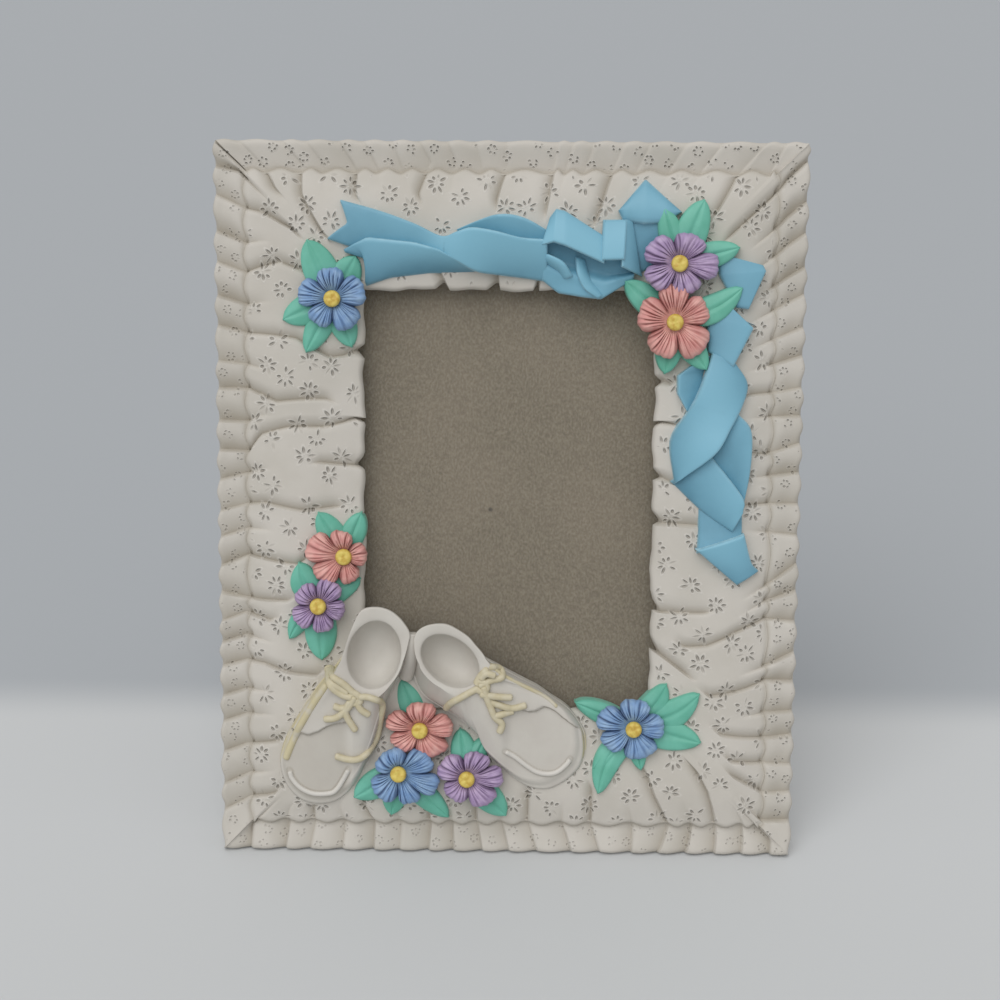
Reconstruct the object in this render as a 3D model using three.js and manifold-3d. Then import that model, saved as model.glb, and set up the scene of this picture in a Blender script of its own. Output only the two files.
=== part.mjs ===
// A cast resin baby photo frame made to look like gathered cloth: a pleated ruffle round a puffed panel,
// with a ribbon, flower sprays and a pair of baby shoes bonded on, glass and a board in a rebate, and an
// easel leg. Millimetres, +Z up; the origin is the middle of the flat that the frame stands on.
//
// Most of it is drawn in the face's own frame: x to the right, y up the face from the ground line,
// z out of the flat back (z = 0) towards the front. One group leans that frame back on its leg.

import * as THREE from "three";
import { mergeVertices } from "three/addons/utils/BufferGeometryUtils.js";
import Module from "manifold-3d";

const wasm = await Module();
wasm.setup();

const { degToRad, lerp } = THREE.MathUtils;

// The print, its window and the border round the window
const printWidth = 89;
const printHeight = 127;
const printClearance = 1.5; // the rebate is this much larger than the print
const lipOverlap = 3.25; // the lip covers this much of the print on each side
const borderSide = 41.6;
const borderTop = 41;
const borderBottom = 42.9;

// What lies in the rebate, from the back
const boardThickness = 2.5;
const printRoom = 0.5;
const glassThickness = 2;
const fitGap = 0.3; // between pieces that seat on each other

// How it stands
const lean = degToRad(15);
const legOpening = degToRad(28);
const landDepth = 7; // the flat ground along the lower edge, measured along the depth

// The ruffle: knife pleats in a band round the edge
const pleatPitch = 8.35;
const pleatDepth = 1.8;
const pleatScallop = 1.4;
const crestShare = 0.8; // how far along a pleat its crest lies
const bandWidth = 8.5;
const wallHeight = 6.5; // plain side wall, before the ruffle flares
const rimHeight = 9.4;
const rimRound = 1.4;
const bandRootHeight = 8.4;

// The puffed panel, gathered towards the window
const panelStepHeight = 11.6;
const panelStepRun = 0.7;
const panelCrownHeight = 13.4;
const crownInset = 21;
const panelInnerHeight = 12.2;
const innerWidth = 7; // the fall towards the window's edge
const windowEdgeHeight = 10.6;
const windowRoll = 1.1;
const windowRollHeight = 8.8;
const gatherDepth = 1.5;
const pleatsPerGather = 2;

// Ornaments: their blanks reach back to this depth and are then cut to what they lie on
const ornamentFloor = 8;

// Flowers: [name, window corner, across, up, radius, turn in degrees, colour]
const petalCount = 5;
const petalNotch = 0.3; // share of the radius lost between petals
const petalBackShare = 0.92; // the flat back, as a share of the radius
const petalEdgeRise = 1.4;
const petalCrestShare = 0.7; // where a petal is highest
const petalCrestFullness = 0.8; // how much of the notch shows there
const petalRise = 3.2;
const dishShare = 0.36; // the rim of the dish in the middle
const dishRise = 2.3;
const petalDip = 1.4; // the dish's bottom above the back
const centreRadius = 2.5;
const centreEdgeRise = 1.2;
const centreShoulder = 0.65; // share of the radius at the shoulder
const centreShoulderRise = 2;
const centreRise = 2.3;
const flowers = [
  ["blue_top_left", "topLeft", -8, -1, 8.8, 90, "blue"],
  ["purple_top_right", "topRight", 5.5, 9, 9.6, 70, "purple"],
  ["pink_top_right", "topRight", 4.6, -7.6, 10, 90, "pink"],
  ["pink_left", "bottomLeft", -5.2, 46.5, 8, 72, "pink"],
  ["purple_left", "bottomLeft", -12.4, 32, 7.5, 68, "purple"],
  ["pink_bottom", "bottomLeft", 16.4, -3.4, 9.4, 90, "pink"],
  ["blue_bottom", "bottomLeft", 10.4, -16.6, 8.8, 56, "blue"],
  ["purple_bottom", "bottomLeft", 30, -18.2, 8.6, 75, "purple"],
  ["blue_bottom_right", "bottomRight", -4.8, -4.2, 9.2, 80, "blue"],
];

// Leaf sprays: how high each lies, and its leaves as [flower, bearing in degrees, reach, width, bend]
const leafRise = 1.9;
const leafEdgeRise = 0.9;
const leafStart = 0.12; // how far along the blade's curve it leaves the hub
const leafSteps = 3;
const stalkWidth = 2.6;
const leafTip = 0.4;
const hubRadius = 4;
const sprays = [
  { name: "top_left", lift: 0.4, leaves: [
    ["blue_top_left", 114, 17.4, 8, 0], ["blue_top_left", 62, 13.2, 7, 0], ["blue_top_left", 203, 15, 7, 0],
    ["blue_top_left", 243, 16.6, 6, 0], ["blue_top_left", 290, 14.2, 6, 0]] },
  { name: "top_right", lift: 2.6, leaves: [
    ["purple_top_right", 106, 15.6, 5.5, 0], ["purple_top_right", 69, 18.4, 7.5, 0],
    ["purple_top_right", 15, 17, 6, 0], ["purple_top_right", 339, 20, 8, 2],
    ["pink_top_right", 146, 17, 6, 2], ["pink_top_right", 261, 14.4, 6, 0],
    ["pink_top_right", 305, 15.8, 6, 0]] },
  { name: "left", lift: 0.4, leaves: [
    ["pink_left", 121, 14.1, 6, 0], ["pink_left", 69, 12.8, 5.5, 0], ["purple_left", 116, 13, 7, 1],
    ["purple_left", 32, 13.2, 6.5, 1], ["purple_left", 229, 13, 4.5, -1], ["purple_left", 272, 16, 7.5, 0]] },
  { name: "bottom", lift: 0.4, leaves: [
    ["pink_bottom", 112, 14.8, 6, 0], ["purple_bottom", 99, 13.4, 6, 0], ["purple_bottom", 66, 12, 4.5, 0],
    ["blue_bottom", 212, 15.2, 7, 0], ["blue_bottom", 260, 13.6, 6, 0], ["blue_bottom", 315, 19.8, 6, 0],
    ["purple_bottom", 313, 16.3, 7, 0]] },
  { name: "bottom_right", lift: 0.4, leaves: [
    ["blue_bottom_right", 158, 17.8, 5, 0], ["blue_bottom_right", 53, 15.4, 6, -1],
    ["blue_bottom_right", 28, 21, 7, -2], ["blue_bottom_right", 348, 19.6, 7.5, 0],
    ["blue_bottom_right", 227, 16.3, 5, 0], ["blue_bottom_right", 243, 21.6, 6.5, -2],
    ["blue_bottom_right", 281, 12.4, 4, 0]] },
];

// Ribbon, in lengths between its folds, set out from the window's top right corner. Each length is drawn
// by its two edges, as [across, up, rise off the panel], and stands proud by its crown between them.
const ribbons = [
  { name: "lower_tail", crown: 0.6, steps: 5, edges: [
    [[-82, 2.6, 2], [-68, 4.8, 2.4], [-55.5, 6.2, 2]],
    [[-80.8, 8.7, 2], [-69, 11.4, 2.2], [-58.5, 12.6, 1.6]]] },
  { name: "swallowtail", crown: 1, steps: 5, notch: 5.5, edges: [
    [[-90.6, 15.2, 2], [-79, 14.3, 3], [-58, 11.4, 4]],
    [[-86, 24.4, 2], [-75.5, 21, 2.4], [-60.8, 15.4, 3]]] },
  { name: "run", crown: 1.4, steps: 6, edges: [
    [[-57.5, 6.4, 2.2], [-50.5, 6.1, 2.4], [-41.2, 5.1, 2.4], [-31.6, 2.4, 2.6]],
    [[-59.5, 13.4, 2.6], [-50.7, 19.5, 2.4], [-41.2, 21.2, 2.6], [-31.6, 17.8, 3]]] },
  { name: "bow", crown: 1.2, steps: 6, crisp: true, edges: [
    [[-31, 2.4, 3], [-27.3, 1.4, 5.2], [-22.8, 0.4, 3.4], [-16.1, -1, 5.4],
      [-12, 0.2, 3.6], [-8.5, 2.5, 5], [-4.4, 5.5, 3]],
    [[-31, 18.4, 3], [-28.6, 22.8, 5.2], [-22.5, 20.2, 3.4], [-15.6, 16.4, 5.4],
      [-14, 20.3, 3.6], [-9.3, 19.8, 5], [-4.6, 15, 3]]] },
  { name: "upper_loop", crown: 2, steps: 6, edges: [
    [[-8.4, 17.4, 3], [-3.4, 19, 4], [0.4, 18, 4], [3.6, 15.4, 3]],
    [[-11.4, 22, 2.4], [-4.2, 30.8, 3.4], [3.2, 25, 3.4], [8.2, 19, 2.4]]] },
  { name: "right_loop_upper", crown: 2, steps: 6, edges: [
    [[15.8, 7.4, 2.6], [18.6, 3, 3.4], [20.6, -3.4, 2.6]],
    [[19, 11, 2], [28.6, 7.5, 3], [24.8, -2.8, 2]]] },
  { name: "right_loop_lower", crown: 2, steps: 6, edges: [
    [[14.8, -6.4, 2.6], [16, -10, 3.4], [14, -13.8, 2.6]],
    [[19, -3, 2], [26, -9, 3], [22.6, -19.2, 2]]] },
  { name: "side_upper", crown: 0.8, steps: 5, edges: [
    [[9, -20.5, 2.4], [6.2, -25, 2], [7.5, -31.4, 2.4], [10, -34.2, 3.4]],
    [[17, -18.6, 2.6], [25, -23.5, 2], [24.7, -30.4, 2.4], [22.4, -36, 3.4]]] },
  { name: "side_middle", crown: 1, steps: 6, edges: [
    [[9.4, -34, 2.4], [4.6, -40.7, 2], [5.9, -51.6, 2], [13.2, -58.4, 3.2]],
    [[22.8, -36, 2.4], [26, -42, 2.4], [26, -51.5, 2], [24.6, -58.3, 3.2]]] },
  { name: "side_end", crown: 0.8, steps: 6, notch: -2.4, edges: [
    [[13.4, -58.8, 2.4], [12.7, -68.6, 2], [15.6, -73.4, 2.4], [26, -80.8, 1.8]],
    [[24.6, -58.6, 2.4], [24.8, -67.6, 2.4], [27, -74.8, 2.4], [29.6, -78, 1.8]]] },
];

// Baby shoes, set out from the window's lower left corner. The outline runs from the heel anticlockwise
// round the toe; the mouth is an ellipse whose heading points to the toe.
const shoeColumns = 24;
const weltRise = 2.4;
const weltShelf = 0.06; // share of the way in from the outline to the mouth
const upperRings = [0.14, 0.3, 0.6, 1]; // likewise, from above the welt to the rim
const upperSwell = 0.6; // below 1 the upper bulges before it reaches the rim
const heelRise = 10.4;
const throatRise = 9.4;
const mouthDepth = 5.5;
const mouthTaper = 0.72;
const collarThickness = 1.1;
const shoes = [
  { name: "left_shoe", mouth: [4, 19.3], mouthLong: 9.9, mouthShort: 7.3, heading: -98.7,
    outline: [[3.2, 33.4], [-5.3, 26.2], [-10.4, 13.5], [-18.4, 1], [-24.4, -11.8], [-20.3, -20.8],
      [-11.5, -26], [-2.6, -19.4], [2.7, -7.7], [8.2, 5.8], [13.2, 15.9], [13.4, 25.8]] },
  { name: "right_shoe", mouth: [25.5, 17.8], mouthLong: 9.8, mouthShort: 6.8, heading: -50,
    outline: [[15.2, 23.8], [15.2, 12.2], [23.6, 3.7], [35.8, -4.6], [43.2, -17.7], [53.2, -20.5],
      [62.7, -14.2], [61.7, 0.8], [49.2, 10.2], [37.6, 17.2], [30.8, 24.3], [22, 28.5]] },
];

// Laces, as routes on a shoe's upper: [turns round from the heel, share of the way in to the mouth].
// Two bars cross the throat, and the tied strand lies over them from its loop to its tail.
const laceRadius = 0.9;
const laceSides = 5;
const laceStep = 4;
const laceBars = [
  [[0.41, 0.82], [0.5, 0.76], [0.59, 0.82]],
  [[0.43, 0.56], [0.5, 0.52], [0.57, 0.56]],
];
const laceStrand = [
  [0.4, 0.94], [0.34, 0.62], [0.42, 0.6], [0.5, 0.74], [0.5, 0.5], [0.58, 0.4], [0.52, 0.26],
];

// Easel leg and its hinge
const hingeRise = 38; // pin above the middle of the window
const legTopWidth = 26;
const legFootWidth = 44;
const legThickness = 2.5;
const hingeWidth = 24;
const leafThickness = 0.8;
const leafHeight = 15;
const knuckleRadius = 2;
const pinRadius = 1;
const middleKnuckle = 10;
const heelLength = 6;
const rivetRadius = 1;
const rivetHeadRadius = 2.2;
const rivetHeadHeight = 0.9;
const rivetDepth = 1.6;
const rivetSpacing = 13;
const rivetInset = 5; // from the leaf's free edge

// Turn buttons on the back
const buttonThickness = 1;
const buttonPivotRadius = 4.5;
const buttonTipRadius = 3;
const buttonReach = 10;
const buttonFromRebate = 5; // pivot outside the rebate's edge
const buttonSpread = 42; // pivots above and below the middle of the window
const screwRadius = 1.3;
const screwHeadRadius = 3;
const screwHeadHeight = 1.7;
const screwDepth = 6;
const headFlat = 0.6; // flat top of a rivet's or screw's head, as a share of its radius
const holeStart = -1; // holes are cut from this far outside the surface they start in
const roundSides = 8;
const buttonArcSteps = 3;

// Worked out from the above
const windowWidth = printWidth - 2 * lipOverlap;
const windowHeight = printHeight - 2 * lipOverlap;
const rebateWidth = printWidth + printClearance;
const rebateHeight = printHeight + printClearance;
const rebateDepth = boardThickness + printRoom + glassThickness + fitGap;
const halfWidth = windowWidth / 2 + borderSide;
const bottomEdge = -landDepth * Math.tan(lean);
const windowBottom = bottomEdge + borderBottom;
const windowTop = windowBottom + windowHeight;
const windowMiddle = (windowBottom + windowTop) / 2;
const topEdge = windowTop + borderTop;
const pinHeight = windowMiddle + hingeRise;
const pinDepth = fitGap + knuckleRadius;
const workSize = 4 * topEdge; // larger than anything here, for cutting blocks

const finishes = {
  resin: { color: 0xd6cdbd, roughness: 0.75, metalness: 0 },
  ribbon: { color: 0x86b6c9, roughness: 0.6, metalness: 0 },
  blue: { color: 0x7f9fd0, roughness: 0.6, metalness: 0 },
  purple: { color: 0xb69ad0, roughness: 0.6, metalness: 0 },
  pink: { color: 0xd99a90, roughness: 0.6, metalness: 0 },
  yellow: { color: 0xe0c765, roughness: 0.6, metalness: 0 },
  green: { color: 0x6fb59d, roughness: 0.6, metalness: 0 },
  shoe: { color: 0xdcd8cc, roughness: 0.6, metalness: 0 },
  lace: { color: 0xd8cba6, roughness: 0.7, metalness: 0 },
  glass: { color: 0xe8f0ee, roughness: 0.05, metalness: 0 },
  chipboard: { color: 0x7a7061, roughness: 0.95, metalness: 0 },
  steel: { color: 0xb4b2ac, roughness: 0.35, metalness: 1 },
};

function addMesh(parent, name, geometry, finish) {
  const mesh = new THREE.Mesh(geometry, new THREE.MeshStandardMaterial(finishes[finish]));
  mesh.name = name;
  parent.add(mesh);
  return mesh;
}

function solidOf(geometry) {
  const bare = geometry.clone();
  bare.deleteAttribute("normal");
  bare.deleteAttribute("uv");
  const merged = mergeVertices(bare, 1e-4);
  return new wasm.Manifold(new wasm.Mesh({
    numProp: 3,
    vertProperties: new Float32Array(merged.attributes.position.array),
    triVerts: new Uint32Array(merged.index.array),
  }));
}

function geometryOf(solid) {
  const { vertProperties, triVerts } = solid.getMesh();
  const geometry = new THREE.BufferGeometry();
  geometry.setAttribute("position", new THREE.BufferAttribute(vertProperties, 3));
  geometry.setIndex(new THREE.BufferAttribute(triVerts, 1));
  const faceted = geometry.toNonIndexed();
  faceted.computeVertexNormals();
  return faceted;
}

function meshGeometry(points, triangles) {
  const geometry = new THREE.BufferGeometry().setFromPoints(points);
  geometry.setIndex(triangles);
  return geometry;
}

function boxSolid(xRange, yRange, zRange) {
  const spans = [xRange, yRange, zRange];
  const [width, height, depth] = spans.map(([low, high]) => high - low);
  const box = new THREE.BoxGeometry(width, height, depth);
  return solidOf(box.translate(...spans.map(([low, high]) => (low + high) / 2)));
}

// A round bar along an axis ("x" or "z") between two places on it.
function barSolid(axis, radius, from, to) {
  const bar = new THREE.CylinderGeometry(radius, radius, to - from, roundSides);
  if (axis === "x") {
    return solidOf(bar.rotateZ(Math.PI / 2).translate((from + to) / 2, 0, 0));
  }
  return solidOf(bar.rotateX(Math.PI / 2).translate(0, 0, (from + to) / 2));
}

function largestBody(solid) {
  return solid.decompose().reduce((a, b) => (a.volume() > b.volume() ? a : b));
}

// A loop moved outwards in its own plane, keeping its corners; loops run anticlockwise from the front.
function outset(loop, distance) {
  const sharpest = 0.4;
  return loop.map((point, place) => {
    const before = loop[(place + loop.length - 1) % loop.length];
    const after = loop[(place + 1) % loop.length];
    const [first, second] = [[before, point], [point, after]].map(([from, to]) => {
      const edge = new THREE.Vector2(to.x - from.x, to.y - from.y).normalize();
      return new THREE.Vector2(edge.y, -edge.x);
    });
    const spread = distance / Math.max(sharpest, 1 + first.dot(second));
    return new THREE.Vector3(
      point.x + (first.x + second.x) * spread,
      point.y + (first.y + second.y) * spread,
      point.z,
    );
  });
}

// Everything below the ground, in a frame turned about x whose origin is `height` above the ground.
function groundBelow(turn, height) {
  const up = new THREE.Vector3(0, Math.sin(turn), Math.cos(turn));
  const block = new THREE.BoxGeometry(workSize, workSize, workSize).rotateX(-turn);
  const middle = up.multiplyScalar(-height - workSize / 2);
  return solidOf(block.translate(middle.x, middle.y, middle.z));
}

// A closed ring swept round the window: each loop runs round the border, and the last joins the first.
function ringSolid(loops) {
  const count = loops[0].length;
  const triangles = loops.flatMap((_, row) => loops[row].flatMap((__, column) => {
    const nextRow = (row + 1) % loops.length;
    const nextColumn = (column + 1) % count;
    const [a, b] = [row * count + column, row * count + nextColumn];
    const [c, d] = [nextRow * count + nextColumn, nextRow * count + column];
    return [a, b, c, a, c, d];
  }));
  return solidOf(meshGeometry(loops.flat(), triangles));
}

// A solid lofted through loops from a flat back to an apex, with a skin of `gap` laid over it.
function loftSolid(loops, apex, gap) {
  const count = loops[0].length;
  const grown = loops.map((loop, row) => outset(loop, gap).map((p) => p.setZ(p.z + (row > 0 ? gap : 0))));
  const back = THREE.ShapeUtils.triangulateShape(grown[0], []).flatMap(([a, b, c]) => [a, c, b]);
  const walls = grown.slice(1).flatMap((loop, row) => loop.flatMap((_, column) => {
    const next = (column + 1) % count;
    const [a, b] = [row * count + column, row * count + next];
    return [a, b, b + count, a, b + count, a + count];
  }));
  const last = (loops.length - 1) * count;
  const top = loops.length * count;
  const front = loops[0].flatMap((_, column) => [last + column, last + ((column + 1) % count), top]);
  const tip = apex.clone().setZ(apex.z + gap);
  return solidOf(meshGeometry([...grown.flat(), tip], [...back, ...walls, ...front]));
}

// A patch of relief: a surface over u and v in front, walls down to the ornament floor and a flat back,
// with a skin of `gap` laid over it.
function patchSolid(surface, columns, rows, gap) {
  const at = (u, v) => v * (columns + 1) + u;
  const points = [];
  const triangles = [];
  for (let v = 0; v <= rows; v += 1) {
    for (let u = 0; u <= columns; u += 1) {
      const point = surface(u / columns, v / rows);
      points.push(point.setZ(point.z + gap));
      if (u < columns && v < rows) {
        triangles.push(at(u, v), at(u + 1, v), at(u + 1, v + 1), at(u, v), at(u + 1, v + 1), at(u, v + 1));
      }
    }
  }
  const border = [
    ...Array.from({ length: columns }, (_, u) => at(u, 0)),
    ...Array.from({ length: rows }, (_, v) => at(columns, v)),
    ...Array.from({ length: columns }, (_, u) => at(columns - u, rows)),
    ...Array.from({ length: rows }, (_, v) => at(0, rows - v)),
  ];
  const edge = outset(border.map((place) => points[place]), gap);
  border.forEach((place, step) => points[place].copy(edge[step]));
  const back = points.length;
  points.push(...edge.map((point) => point.setZ(ornamentFloor)));
  border.forEach((top, step) => {
    const next = (step + 1) % border.length;
    triangles.push(back + step, back + next, border[next], back + step, border[next], top);
  });
  THREE.ShapeUtils.triangulateShape(edge, []).forEach(([a, b, c]) => {
    triangles.push(back + a, back + c, back + b);
  });
  return solidOf(meshGeometry(points, triangles));
}

// Border geometry: a place along a side, at an inset from the outer edge, with mitred corners
const outerCorners = [
  [-halfWidth, bottomEdge],
  [halfWidth, bottomEdge],
  [halfWidth, topEdge],
  [-halfWidth, topEdge],
];
const windowCorners = [
  [-windowWidth / 2, windowBottom],
  [windowWidth / 2, windowBottom],
  [windowWidth / 2, windowTop],
  [-windowWidth / 2, windowTop],
];
const sideNormals = [[0, -1], [1, 0], [0, 1], [-1, 0]];
const ledgesForward = [true, false, false, true]; // the pleats' ledges face down on both upright sides

const cornerPlaces = {
  bottomLeft: windowCorners[0],
  bottomRight: windowCorners[1],
  topRight: windowCorners[2],
  topLeft: windowCorners[3],
};

function fromCorner(corner, across, up) {
  const [x, y] = cornerPlaces[corner];
  return new THREE.Vector3(x + across, y + up, 0);
}

function borderCorner(index, inset) {
  const [outer, inner] = [outerCorners[index % 4], windowCorners[index % 4]];
  const share = inset / borderSide;
  return new THREE.Vector3(lerp(outer[0], inner[0], share), lerp(outer[1], inner[1], share), 0);
}

// Two columns of points to a pleat, at its foot and its crest; the corners stand out as crests.
const borderColumns = sideNormals.flatMap((normal, side) => {
  const [from, to] = [borderCorner(side, 0), borderCorner(side + 1, 0)];
  const pleats = Math.round(from.distanceTo(to) / pleatPitch);
  const share = ledgesForward[side] ? crestShare : 1 - crestShare;
  return Array.from({ length: 2 * pleats }, (_, step) => {
    const pleat = Math.floor(step / 2);
    const isCrest = step % 2 === 1;
    const isCorner = step === 0;
    const within = isCrest ? share : 0;
    const turn = ((pleat % pleatsPerGather) + within) / pleatsPerGather;
    const before = sideNormals[(side + 3) % 4];
    return {
      side,
      along: (pleat + within) / pleats,
      out: isCorner ? [normal[0] + before[0], normal[1] + before[1]] : normal,
      crest: isCrest || isCorner ? 0.5 : -0.5,
      gather: (ledgesForward[side] || turn === 0 ? turn : 1 - turn) - 0.5,
    };
  });
});

function borderLoop(inset, height, { pleat = 0, gather = 0, scallop = 0 } = {}) {
  return borderColumns.map((column) => {
    const point = borderCorner(column.side, inset).lerp(borderCorner(column.side + 1, inset), column.along);
    const [outX, outY] = column.out;
    const shift = scallop * column.crest;
    const rise = pleat * column.crest + gather * column.gather;
    return new THREE.Vector3(point.x + outX * shift, point.y + outY * shift, height + rise);
  });
}

// The border's section, from the back's outer edge over the front to the window and back, with a skin of
// `gap` laid over it.
function borderSolid(gap) {
  const stepInset = bandWidth + panelStepRun;
  return ringSolid([
    borderLoop(-gap, 0),
    borderLoop(-gap, wallHeight),
    borderLoop(-gap, rimHeight, { pleat: pleatDepth, scallop: pleatScallop }),
    borderLoop(rimRound, rimHeight + rimRound + gap, { pleat: pleatDepth, scallop: pleatScallop }),
    borderLoop(bandWidth, bandRootHeight + gap, { pleat: pleatDepth / 2 }),
    borderLoop(stepInset, panelStepHeight + gap, { pleat: pleatDepth / 3, scallop: pleatScallop / 2 }),
    borderLoop(crownInset, panelCrownHeight + gap, { gather: gatherDepth }),
    borderLoop(borderSide - innerWidth, panelInnerHeight + gap, { gather: gatherDepth }),
    borderLoop(borderSide - windowRoll + gap, windowEdgeHeight + gap, { gather: gatherDepth / 2 }),
    borderLoop(borderSide + gap, windowRollHeight),
    borderLoop(borderSide + gap, 0),
  ]);
}

function castingSolid() {
  const rebate = boxSolid(
    [-rebateWidth / 2, rebateWidth / 2],
    [windowMiddle - rebateHeight / 2, windowMiddle + rebateHeight / 2],
    [-rebateDepth, rebateDepth],
  );
  return borderSolid(0).subtract(rebate).subtract(groundBelow(Math.PI / 2 - lean, 0));
}

// The panel's height without its gathers, at any place on the face
const panelProfile = [
  [bandWidth, panelStepHeight],
  [crownInset, panelCrownHeight],
  [borderSide - innerWidth, panelInnerHeight],
  [borderSide, windowEdgeHeight],
];

function faceHeight(x, y) {
  const inset = Math.min(
    halfWidth - Math.abs(x),
    (y - bottomEdge) * (borderSide / borderBottom),
    (topEdge - y) * (borderSide / borderTop),
  );
  const [first, last] = [panelProfile[0], panelProfile[panelProfile.length - 1]];
  const place = THREE.MathUtils.clamp(inset, first[0], last[0]);
  const end = panelProfile.findIndex(([at], row) => row > 0 && place <= at);
  const [[from, low], [to, high]] = [panelProfile[end - 1], panelProfile[end]];
  return THREE.MathUtils.mapLinear(place, from, to, low, high);
}

function onFace(x, y, rise) {
  return new THREE.Vector3(x, y, faceHeight(x, y) + rise);
}

// How far a strip has risen to its crown, from one edge (0) over the middle to the other (1)
const archAcross = (v) => 4 * v * (1 - v);
const stepsAcross = 2;

// A ribbon's edge, smooth or in straight stretches between crisp folds
function ribbonEdge(points, crisp) {
  if (!crisp) {
    const curve = new THREE.CatmullRomCurve3(points);
    return (u) => curve.getPoint(u);
  }
  const stretches = points.length - 1;
  return (u) => {
    const place = Math.min(Math.floor(u * stretches), stretches - 1);
    return points[place].clone().lerp(points[place + 1], u * stretches - place);
  };
}

function ribbonSolid({ edges, crown, steps, crisp = false, notch = 0 }, gap) {
  const rails = edges.map((edge) => {
    const points = edge.map(([across, up, rise]) => fromCorner("topRight", across, up).setZ(rise));
    return ribbonEdge(points, crisp);
  });
  const notchedEnd = notch > 0 ? 0 : 1;
  const surface = (u, v) => {
    const [lower, upper] = rails.map((rail) => rail(u));
    const point = lower.lerp(upper, v);
    const arch = archAcross(v);
    if (u === notchedEnd) {
      point.x += notch * arch;
    }
    return onFace(point.x, point.y, point.z + crown * arch);
  };
  return patchSolid(surface, steps, stepsAcross, gap);
}

// The shoe's upper: u runs round from the heel, v from the outline in to the mouth's rim.
function shoeUpper({ outline, mouth, mouthLong, mouthShort, heading }) {
  const corners = outline.map(([across, up]) => fromCorner("bottomLeft", across, up));
  const edge = new THREE.CatmullRomCurve3(corners, true);
  const centre = fromCorner("bottomLeft", ...mouth);
  const toHeel = new THREE.Vector3(-Math.cos(degToRad(heading)), -Math.sin(degToRad(heading)), 0);
  const toLeft = new THREE.Vector3(-toHeel.y, toHeel.x, 0);
  const base = panelInnerHeight;
  const rim = (u, share) => centre.clone()
    .addScaledVector(toHeel, share * mouthLong * Math.cos(2 * Math.PI * u))
    .addScaledVector(toLeft, share * mouthShort * Math.sin(2 * Math.PI * u));
  const rimHeightAt = (u) => base + lerp(throatRise, heelRise, (1 + Math.cos(2 * Math.PI * u)) / 2);
  const upper = (u, v) => {
    const swell = Math.sin((Math.PI / 2) * v ** upperSwell);
    const height = lerp(base + weltRise, rimHeightAt(u), swell);
    return edge.getPoint(u).lerp(rim(u, 1), v).setZ(height);
  };
  return { edge, rim, rimHeightAt, upper, centre, base };
}

function shoeSolid(shoe, gap) {
  const { edge, rim, rimHeightAt, upper, centre, base } = shoeUpper(shoe);
  const loop = (place) => Array.from({ length: shoeColumns }, (_, column) => place(column / shoeColumns));
  const mouthFloor = base + throatRise - mouthDepth;
  const inner = 1 - collarThickness / shoe.mouthShort;
  return loftSolid([
    loop((u) => edge.getPoint(u).setZ(ornamentFloor)),
    loop((u) => edge.getPoint(u).setZ(base + weltRise)),
    loop((u) => upper(u, weltShelf)),
    ...upperRings.map((v) => loop((u) => upper(u, v))),
    loop((u) => rim(u, inner).setZ(rimHeightAt(u) - collarThickness / 2)),
    loop((u) => rim(u, mouthTaper).setZ(mouthFloor)),
  ], centre.clone().setZ(mouthFloor), gap);
}

// A lace laid on the upper, with its middle `lift` off the surface
function laceTube(upper, route, lift, gap) {
  const probe = 1e-3;
  const points = route.map(([u, v]) => {
    const round = upper(u + probe, v).sub(upper(u - probe, v));
    const inward = upper(u, v + probe).sub(upper(u, v - probe));
    return upper(u, v).addScaledVector(round.cross(inward).normalize(), lift);
  });
  const path = new THREE.CatmullRomCurve3(points);
  const section = new THREE.Shape(Array.from({ length: laceSides }, (_, side) => {
    const angle = (2 * Math.PI * side) / laceSides;
    return new THREE.Vector2(Math.cos(angle), Math.sin(angle)).multiplyScalar(laceRadius + gap);
  }));
  const steps = Math.ceil(path.getLength() / laceStep);
  return solidOf(new THREE.ExtrudeGeometry(section, { steps, extrudePath: path }));
}

function laceSolid(shoe, gap) {
  const { upper } = shoeUpper(shoe);
  const lift = laceRadius + fitGap;
  const strand = laceTube(upper, laceStrand, lift + laceRadius, gap);
  return laceBars.reduce((sum, bar) => sum.add(laceTube(upper, bar, lift, gap)), strand);
}

const flowerPlaces = new Map(
  flowers.map(([name, corner, across, up]) => [name, fromCorner(corner, across, up)]),
);

// A leaf out of the hub under its flower: a stalk that widens to an arched blade and comes to a point.
function leafSolid([flower, bearing, reach, width, bend], lift, gap) {
  const centre = flowerPlaces.get(flower);
  const along = new THREE.Vector3(Math.cos(degToRad(bearing)), Math.sin(degToRad(bearing)), 0);
  const aside = new THREE.Vector3(-along.y, along.x, 0);
  const root = hubRadius - stalkWidth / 2;
  const surface = (u, v) => {
    const blade = width * Math.sin(Math.PI * Math.min(1, leafStart + (1 - leafStart) * u));
    const breadth = Math.max(u < 0.5 ? stalkWidth : leafTip, blade);
    const side = (v - 0.5) * breadth + bend * Math.sin(Math.PI * u);
    const point = centre.clone().addScaledVector(along, lerp(root, reach, u)).addScaledVector(aside, side);
    return onFace(point.x, point.y, lift + lerp(leafEdgeRise, leafRise, archAcross(v)));
  };
  return patchSolid(surface, leafSteps, stepsAcross, gap);
}

function hubSolid(place, lift, gap) {
  const top = faceHeight(place.x, place.y) + lift + leafRise + gap;
  const radius = hubRadius + gap;
  const disc = new THREE.CylinderGeometry(radius, radius, top - ornamentFloor, roundSides);
  return solidOf(disc.rotateX(Math.PI / 2).translate(place.x, place.y, (top + ornamentFloor) / 2));
}

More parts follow.
